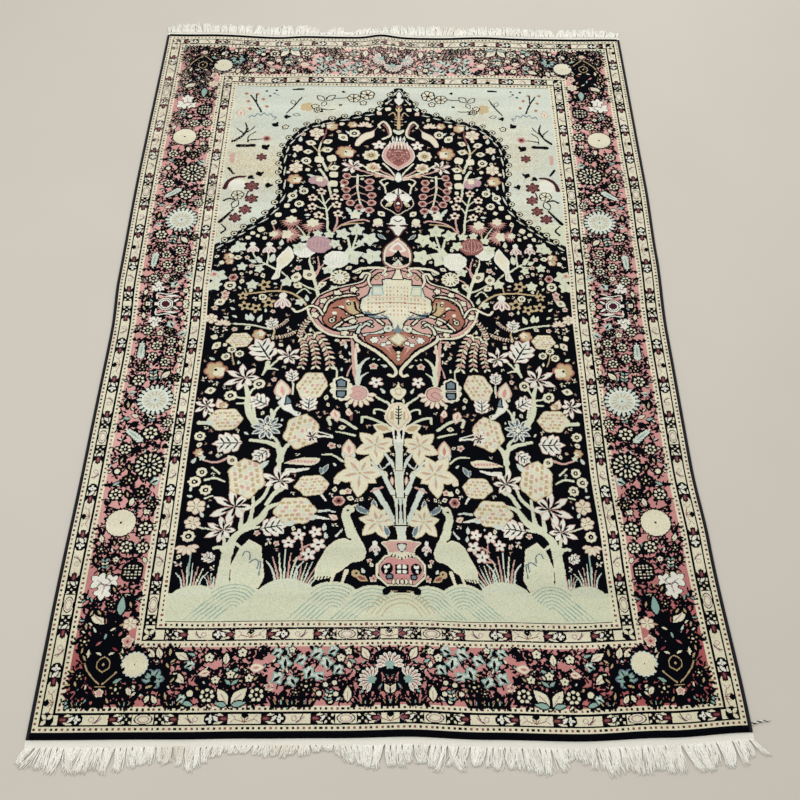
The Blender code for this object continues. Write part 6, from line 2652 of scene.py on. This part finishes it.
    def place(self, mesh: bpy.types.Mesh, layers: Sequence[tuple[float, float]]) -> None:
        """Moves the unit square's points to their places on the rug.

        Args:
            mesh: The sheet's mesh, with the layer of each point.
            layers: The height of each layer, and how far it is drawn in from the edge, in metres.
        """
        form = self.form
        points = np.empty(len(mesh.vertices) * 3)
        mesh.vertices.foreach_get("co", points)
        points = points.reshape(-1, 3)
        level = np.empty(len(points), np.int32)
        mesh.attributes["level"].data.foreach_get("value", level)
        heights = np.array([height for height, _ in layers])[level]
        insets = np.array([inset for _, inset in layers])[level]
        half_sheet = form.width / 2 - form.selvedge_width - form.gap
        x = np.clip(points[:, 0] * form.width, -half_sheet, half_sheet)
        y = points[:, 1] * form.length
        lift = form.lift(x, y)
        out_x = np.where(np.abs(points[:, 0]) > 0.4999, np.sign(points[:, 0]), 0.0)
        out_y = np.where(np.abs(points[:, 1]) > 0.4999, np.sign(points[:, 1]), 0.0)
        moved_x, moved_y = form.on_rug(x, y)
        rolling = np.random.default_rng(self.seed).uniform(-1, 1, (4, 3))
        wave = sum(
            np.sin((17 + 9 * index) * x + 6 * a) * np.sin((13 + 11 * index) * y + 6 * b) * c
            for index, (a, b, c) in enumerate(rolling)
        )
        thick = layers[-1][0] - layers[0][0]
        uneven = self.cockle * wave * (heights - layers[0][0]) / thick if thick > 0.002 else 0.0
        placed = np.stack([moved_x - out_x * insets, moved_y - out_y * insets, lift + heights + uneven], 1)
        mesh.vertices.foreach_set("co", placed.ravel())
        mesh.attributes.remove(mesh.attributes["level"])
        mesh.update()

    def build(self) -> list[bpy.types.Object]:
        """Builds both faces, hangs them on the rug's body and hides the CAD part that they stand in for.

        Returns:
            The pile and the back.
        """
        form = self.form
        base = form.back + 0.0001
        wall = base + (form.pile_top - base) * self.wall_share
        pile = self.slab("wool_pile", ((base, 0.0004), (wall, 0.0), (form.pile_top, self.rim_inset)))
        back = self.slab("woven_back", ((0.0, 0.0), (form.back, 0.0)))
        pile.data.materials.append(KnottedWool().material())
        back.data.materials.append(WovenBack().material())
        for piece in (pile, back):
            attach(piece, BODY)
            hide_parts("rug_body")
        return [pile, back]


def rolled_tube(name: str, path: np.ndarray, radii: np.ndarray, sides: int, squash: float = 1.0,
                wrap: Callable[[np.ndarray, np.ndarray], np.ndarray] | None = None) -> bpy.types.Object:
    """Rolls a grid into a closed round tube along a path.

    Args:
        name: The object's name.
        path: The points along its middle.
        radii: Its radius at each point.
        sides: The flats round it.
        squash: Its height as a share of its width.
        wrap: Gives the radius' factor from the place along, as a number of points, and the angle.

    Returns:
        The tube.
    """
    rings = len(path)
    bm = bmesh.new()
    bmesh.ops.create_grid(bm, x_segments=sides, y_segments=rings - 1, size=0.5)
    ahead = np.gradient(path, axis=0)
    ahead /= np.linalg.norm(ahead, axis=1)[:, None]
    across = np.cross(ahead, (0, 0, 1))
    across /= np.linalg.norm(across, axis=1)[:, None]
    upward = np.cross(across, ahead)
    for vertex in bm.verts:
        ring = round((vertex.co.y + 0.5) * (rings - 1))
        angle = (round((vertex.co.x + 0.5) * sides) % sides) / sides * 2 * math.pi
        radius = radii[ring] * (wrap(ring, angle) if wrap else 1.0)
        vertex.co = path[ring] + radius * (
            across[ring] * math.cos(angle) + upward[ring] * math.sin(angle) * squash
        )
    bmesh.ops.remove_doubles(bm, verts=bm.verts, dist=1e-7)
    bmesh.ops.holes_fill(bm, edges=[edge for edge in bm.edges if edge.is_boundary], sides=0)
    bmesh.ops.recalc_face_normals(bm, faces=bm.faces)
    mesh = bpy.data.meshes.new(name)
    bm.to_mesh(mesh)
    bm.free()
    mesh.shade_smooth()
    tube = bpy.data.objects.new(name, mesh)
    bpy.context.scene.collection.objects.link(tube)
    return tube


@dataclass
class OvercastEdges:
    """The two long edges, wrapped turn by turn in black wool, and the loose end at the near right corner."""

    form: SheetForm = FORM
    turn_mm: float = 3.2
    rings_per_turn: int = 3
    swell: float = 0.10
    tail_length: float = 0.037
    tail_from_corner: float = 0.016
    tail_turn: float = math.radians(9)
    ply_radius: float = 0.0011
    tail_pitch: float = 0.012

    def edge(self, name: str, side: int, node: str) -> bpy.types.Object:
        """Builds the wrapped edge of one side.

        Args:
            name: The piece's name.
            side: -1 for the left side, 1 for the right.
            node: The CAD node that it stands for.

        Returns:
            The dressed piece.
        """
        form = self.form
        rings = int(form.length / MM / self.turn_mm * self.rings_per_turn) + 1
        y = np.linspace(-form.length / 2, form.length / 2, rings)
        x = np.full(rings, side * (form.width - form.selvedge_width) / 2)
        moved_x, moved_y = form.on_rug(x, y)
        path = np.stack([moved_x, moved_y, np.full(rings, form.selvedge_height / 2)], 1)
        radii = np.full(rings, form.selvedge_width / 2 / (1 + self.swell / 2))
        radii[0] *= 0.72
        radii[-1] *= 0.72

        def wrap(ring: int, angle: float) -> float:
            """How far the yarn's turns swell the cord at a place of its skin."""
            phase = ring / self.rings_per_turn * 2 * math.pi + angle * side
            return 1 + self.swell * (math.sin(phase) - 0.5) / 2

        piece = rolled_tube(name, path, radii, 10, form.selvedge_height / form.selvedge_width, wrap)
        piece.data.materials.append(OVERCAST_WOOL.material())
        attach(piece, BODY)
        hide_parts(node)
        return piece

    def tail(self) -> list[bpy.types.Object]:
        """Builds the loose end: a black and a pale ply twisted together."""
        form = self.form
        root_x, root_y = form.on_rug(
            np.array([form.width / 2 + form.gap]), np.array([-form.length / 2 + self.tail_from_corner])
        )
        heading = Vector((math.cos(self.tail_turn), math.sin(self.tail_turn), 0))
        across = Vector((-heading.y, heading.x, 0))
        pieces = []
        for name, phase, wool in (
            ("tail_black_ply", 0.0, OVERCAST_WOOL), ("tail_pale_ply", math.pi, WARP_COTTON)
        ):
            way = np.linspace(0, 1, 60)
            swing = 0.95 * self.ply_radius * (1 - 0.55 * way**2)
            turn = way * self.tail_length / self.tail_pitch * 2 * math.pi + phase
            bow = 0.0018 * np.sin(math.pi * way)
            path = np.array([
                (
                    root_x[0] + heading.x * self.tail_length * w + across.x * (s * math.cos(t) + b),
                    root_y[0] + heading.y * self.tail_length * w + across.y * (s * math.cos(t) + b),
                    0.0025 - 0.0011 * w + s * math.sin(t),
                )
                for w, s, t, b in zip(way, swing, turn, bow)
            ])
            radii = self.ply_radius * (1 - 0.6 * way**2.5)
            piece = rolled_tube(name, path, radii, 8)
            piece.data.materials.append(wool.material())
            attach(piece, BODY)
            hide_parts("selvedge_tail")
            pieces.append(piece)
        return pieces

    def build(self) -> list[bpy.types.Object]:
        """Builds both edges and the loose end."""
        return [
            self.edge("overcast_edge_left", LEFT, "selvedge_left"),
            self.edge("overcast_edge_right", RIGHT, "selvedge_right"),
            *self.tail(),
        ]


@dataclass
class FringedEnd:
    """One end of the rug: the flat-woven strip and the cut warp ends that grow from it."""

    end: int
    rows: Sequence[FringeRow]
    node: str
    label: str
    form: SheetForm = FORM
    bunches: int = 128
    strands_per_bunch: int = 15
    sections: int = 7
    root_width: float = 0.0016
    tip_width: float = 0.0009
    pinch: float = 0.30
    seed: int = 11

    def strip(self) -> bpy.types.Object:
        """Builds the flat-woven strip, a slab with a slightly uneven outer edge."""
        form = self.form
        columns, rows = 330, 5
        bm = bmesh.new()
        bmesh.ops.create_grid(bm, x_segments=columns, y_segments=rows, size=0.5)
        grown = bmesh.ops.extrude_face_region(bm, geom=list(bm.faces))
        raised = {item for item in grown["geom"] if isinstance(item, bmesh.types.BMVert)}
        noise = np.random.default_rng(self.seed).uniform(-1, 1, columns + 1)
        for vertex in bm.verts:
            x = vertex.co.x * form.width
            out = vertex.co.y + 0.5 if self.end > 0 else 0.5 - vertex.co.y
            y = self.end * (form.length / 2 + form.gap)
            place_x, place_y = form.on_rug(np.array([x]), np.array([y]))
            uneven = 0.0007 * noise[round((vertex.co.x + 0.5) * columns)] * out**3
            height = form.lift(np.array([x]), np.array([self.end * form.length / 2]))[0]
            if vertex in raised:
                height += form.strip_thickness * (1 - 0.35 * out**2)
            vertex.co = Vector(
                (place_x[0], place_y[0] + self.end * (form.strip_depth * out + uneven), height)
            )
        bmesh.ops.recalc_face_normals(bm, faces=bm.faces)
        mesh = bpy.data.meshes.new(f"end_weave_{self.label}")
        bm.to_mesh(mesh)
        bm.free()
        piece = bpy.data.objects.new(mesh.name, mesh)
        bpy.context.scene.collection.objects.link(piece)
        piece.data.materials.append(WovenCotton().material())
        return piece

    def strand_paths(self) -> tuple[np.ndarray, np.ndarray]:
        """Works out where the warp ends lie.

        Returns:
            The middle of each strand at each section, and its half width there.
        """
        form, rng = self.form, np.random.default_rng(self.seed + self.end)
        count = self.bunches * self.strands_per_bunch
        bunch = np.repeat(np.arange(self.bunches), self.strands_per_bunch)
        middle = (np.arange(self.bunches) + 0.5 + rng.uniform(-0.34, 0.34, self.bunches)) / self.bunches
        within = np.tile(
            (np.arange(self.strands_per_bunch) + 0.5) / self.strands_per_bunch - 0.5, self.bunches
        )
        share = np.clip((bunch + 0.5 + within) / self.bunches, 0.002, 0.998)
        reach = eased(self.rows, middle, "reach_mm") * (1 + rng.uniform(-0.10, 0.07, self.bunches))
        lean = eased(self.rows, middle, "lean_deg") + rng.normal(0, 5.0, self.bunches)
        curl = rng.normal(0, 0.16, self.bunches)
        own_reach = reach[bunch] * (1 - np.abs(rng.normal(0, 0.08, count)))
        own_lean = np.radians(lean[bunch] + rng.normal(0, 3.5, count))
        own_curl = curl[bunch] + rng.normal(0, 0.07, count)
        wave = rng.uniform(0, 2 * math.pi, count)
        sway = rng.uniform(0.0002, 0.0011, count)
        rise = rng.uniform(0.0, 1.0, count) ** 1.6 * 0.0034
        way = np.linspace(0, 1, self.sections + 1)[:, None]
        root_x = (share - 0.5) * form.width
        centre_x = (middle[bunch] - 0.5) * form.width
        root_y = np.full(count, self.end * (form.length / 2 + form.gap))
        placed_x, placed_y = form.on_rug(root_x, root_y)
        lift = form.lift(root_x, self.end * np.full(count, form.length / 2))
        placed_y = placed_y + self.end * (form.strip_depth - 0.0012)
        length = own_reach * MM - form.strip_depth + 0.0012
        # The strands of a bunch close up just past the strip, fan out, and come together again at their tips.
        draw = self.pinch * np.sin(np.clip(way / 0.16, 0, 1) * math.pi / 2) - 0.30 * np.clip(
            (way - 0.16) / 0.4, 0, 1
        )
        draw = draw + 0.38 * np.clip((way - 0.5) / 0.5, 0, 1) ** 2
        bend = own_curl * way**2 * length
        along = length * way
        x = placed_x + (centre_x - root_x) * draw + along * np.sin(own_lean) + bend
        x = x + sway * np.sin(wave + way * 7.0) * way
        y = placed_y + self.end * along * np.cos(own_lean)
        z = 0.0009 + lift * (1 - way) ** 2 + (rise + 0.0004) * np.sin(
            math.pi * np.clip(way * 0.86 + 0.14, 0, 1)
        )
        z = np.maximum(z, 0.0005)
        half = (self.root_width + (self.tip_width - self.root_width) * way**1.5) / 2 * rng.uniform(
            0.85, 1.15, count
        )
        return np.stack([x, y, z], -1), half

    def warp_ends(self) -> bpy.types.Object:
        """Builds all the warp ends of this end, each a fine four-sided strand grown section by section."""
        paths, half = self.strand_paths()
        count = paths.shape[1]
        bm = bmesh.new()
        bmesh.ops.create_grid(bm, x_segments=count, y_segments=1, size=0.5)
        bmesh.ops.split_edges(bm, edges=list(bm.edges))
        strand = bm.faces.layers.int.new("strand")
        bm.faces.ensure_lookup_table()
        for face in bm.faces:
            face[strand] = int((face.calc_center_median().x + 0.5) * count)
        corners = ((-1, -1), (1, -1), (1, 1), (-1, 1))
        tips = list(bm.faces)
        for face in tips:
            middle = face.calc_center_median()
            ring = sorted(
                face.verts, key=lambda vertex: math.atan2(vertex.co.y - middle.y, vertex.co.x - middle.x)
            )
            x, y, z = paths[0, face[strand]]
            wide = half[0, face[strand]]
            for vertex, (across, up) in zip(ring, corners):
                vertex.co = (x + across * wide, y, max(z + up * wide, 0.0001))
        for section in range(1, self.sections + 1):
            grown = bmesh.ops.extrude_face_region(bm, geom=tips)
            if section > 1:
                bmesh.ops.delete(bm, geom=tips, context="FACES_ONLY")
            tips = [item for item in grown["geom"] if isinstance(item, bmesh.types.BMFace)]
            for face in tips:
                number = face[strand]
                shift = paths[section, number] - paths[section - 1, number]
                x0, _, z0 = paths[section - 1, number]
                x, y, z = paths[section, number]
                scale = half[section, number] / half[section - 1, number]
                for vertex in face.verts:
                    vertex.co = (
                        x + (vertex.co.x - x0) * scale, vertex.co.y + shift[1],
                        max(z + (vertex.co.z - z0) * scale, 1e-4)
                    )
        bmesh.ops.recalc_face_normals(bm, faces=bm.faces)
        mesh = bpy.data.meshes.new(f"warp_ends_{self.label}")
        bm.to_mesh(mesh)
        bm.free()
        mesh.shade_smooth()
        piece = bpy.data.objects.new(mesh.name, mesh)
        bpy.context.scene.collection.objects.link(piece)
        piece.data.materials.append(WARP_COTTON.material())
        return piece

    def build(self) -> list[bpy.types.Object]:
        """Builds the strip and its warp ends."""
        pieces = [self.strip(), self.warp_ends()]
        for piece in pieces:
            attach(piece, BODY)
            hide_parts(self.node)
        return pieces


@dataclass
class Studio:
    """The plain floor, the soft light and the camera at the photograph's viewing angle."""

    camera_at: Vector = field(default_factory=lambda: Vector((0.0063, -1.6764, 1.9603)))
    right: Vector = field(default_factory=lambda: Vector((0.99999, -0.00105, 0.00426)))
    down: Vector = field(default_factory=lambda: Vector((0.00162, -0.81306, -0.58218)))
    lens: float = 48.6
    floor_size: float = 12.0
    floor_gap: float = 0.0004
    opening: Vector = field(default_factory=lambda: Vector((0.59, 0.96, 0.0)))

    def camera(self) -> None:
        """Places the camera."""
        data = bpy.data.cameras.new("studio_camera")
        data.sensor_width = 36.0
        data.lens = self.lens
        camera = bpy.data.objects.new("studio_camera", data)
        right = self.right.normalized()
        up = -self.down
        up = (up - right * up.dot(right)).normalized()
        back = right.cross(up)
        turned = Matrix((right, up, back)).transposed().to_4x4()
        camera.matrix_world = Matrix.Translation(self.camera_at) @ turned
        bpy.context.scene.collection.objects.link(camera)
        bpy.context.scene.camera = camera

    def floor(self) -> None:
        """Lays the floor a hair under the rug, open where the rug hides it, to show the woven back."""
        bm = bmesh.new()
        bmesh.ops.create_grid(bm, x_segments=1, y_segments=1, size=self.floor_size / 2)
        middle = bm.faces[:]
        bmesh.ops.inset_region(bm, faces=middle, thickness=self.floor_size / 3, use_boundary=True,
                               use_even_offset=True)
        bmesh.ops.scale(bm, verts=middle[0].verts, vec=self.opening * 6 / self.floor_size)
        bmesh.ops.delete(bm, geom=middle, context="FACES_ONLY")
        bmesh.ops.translate(bm, verts=bm.verts, vec=(0.0, 0.0, -self.floor_gap))
        mesh = bpy.data.meshes.new("studio_floor")
        bm.to_mesh(mesh)
        bm.free()
        floor = bpy.data.objects.new("studio_floor", mesh)
        floor.data.materials.append(StudioPaint().material())
        bpy.context.scene.collection.objects.link(floor)

    def light(self) -> None:
        """Hangs two wide soft lamps and a pale surround."""
        for name, place, size, power in (
            ("far_softbox", (0.9, 2.6, 3.0), 2.6, 70.0),
            ("overhead_softbox", (-0.8, -0.6, 3.2), 3.0, 60.0),
        ):
            data = bpy.data.lights.new(name, "AREA")
            data.shape = "SQUARE"
            data.size = size
            data.energy = power
            lamp = bpy.data.objects.new(name, data)
            lamp.location = place
            lamp.rotation_euler = (-Vector(place)).to_track_quat("-Z", "Y").to_euler()
            bpy.context.scene.collection.objects.link(lamp)
        world = bpy.data.worlds.new("studio_surround")
        world.use_nodes = True
        world.node_tree.nodes["Background"].inputs["Color"].default_value = linear("#f4f4f2")
        world.node_tree.nodes["Background"].inputs["Strength"].default_value = 0.55
        bpy.context.scene.world = world
        bpy.context.scene.view_settings.view_transform = "Standard"

    def build(self) -> None:
        """Sets the whole studio."""
        self.camera()
        self.floor()
        self.light()


def main() -> None:
    """Builds the studio and the rug, sub-assembly by sub-assembly."""
    logging.basicConfig(level=logging.INFO, format="%(message)s", stream=sys.stdout)
    Studio().build()
    chart = KnotChart()
    RugPattern(chart).paint()
    for assembly in (
        KnottedSheet(chart),
        OvercastEdges(),
        FringedEnd(NEAR, NEAR_FRINGE, "fringe_near", "near"),
        FringedEnd(FAR, FAR_FRINGE, "fringe_far", "far"),
    ):
        for piece in assembly.build():
            LOG.info("%s: %d faces", piece.name, len(piece.data.polygons))


if __name__ == "__main__":
    main()
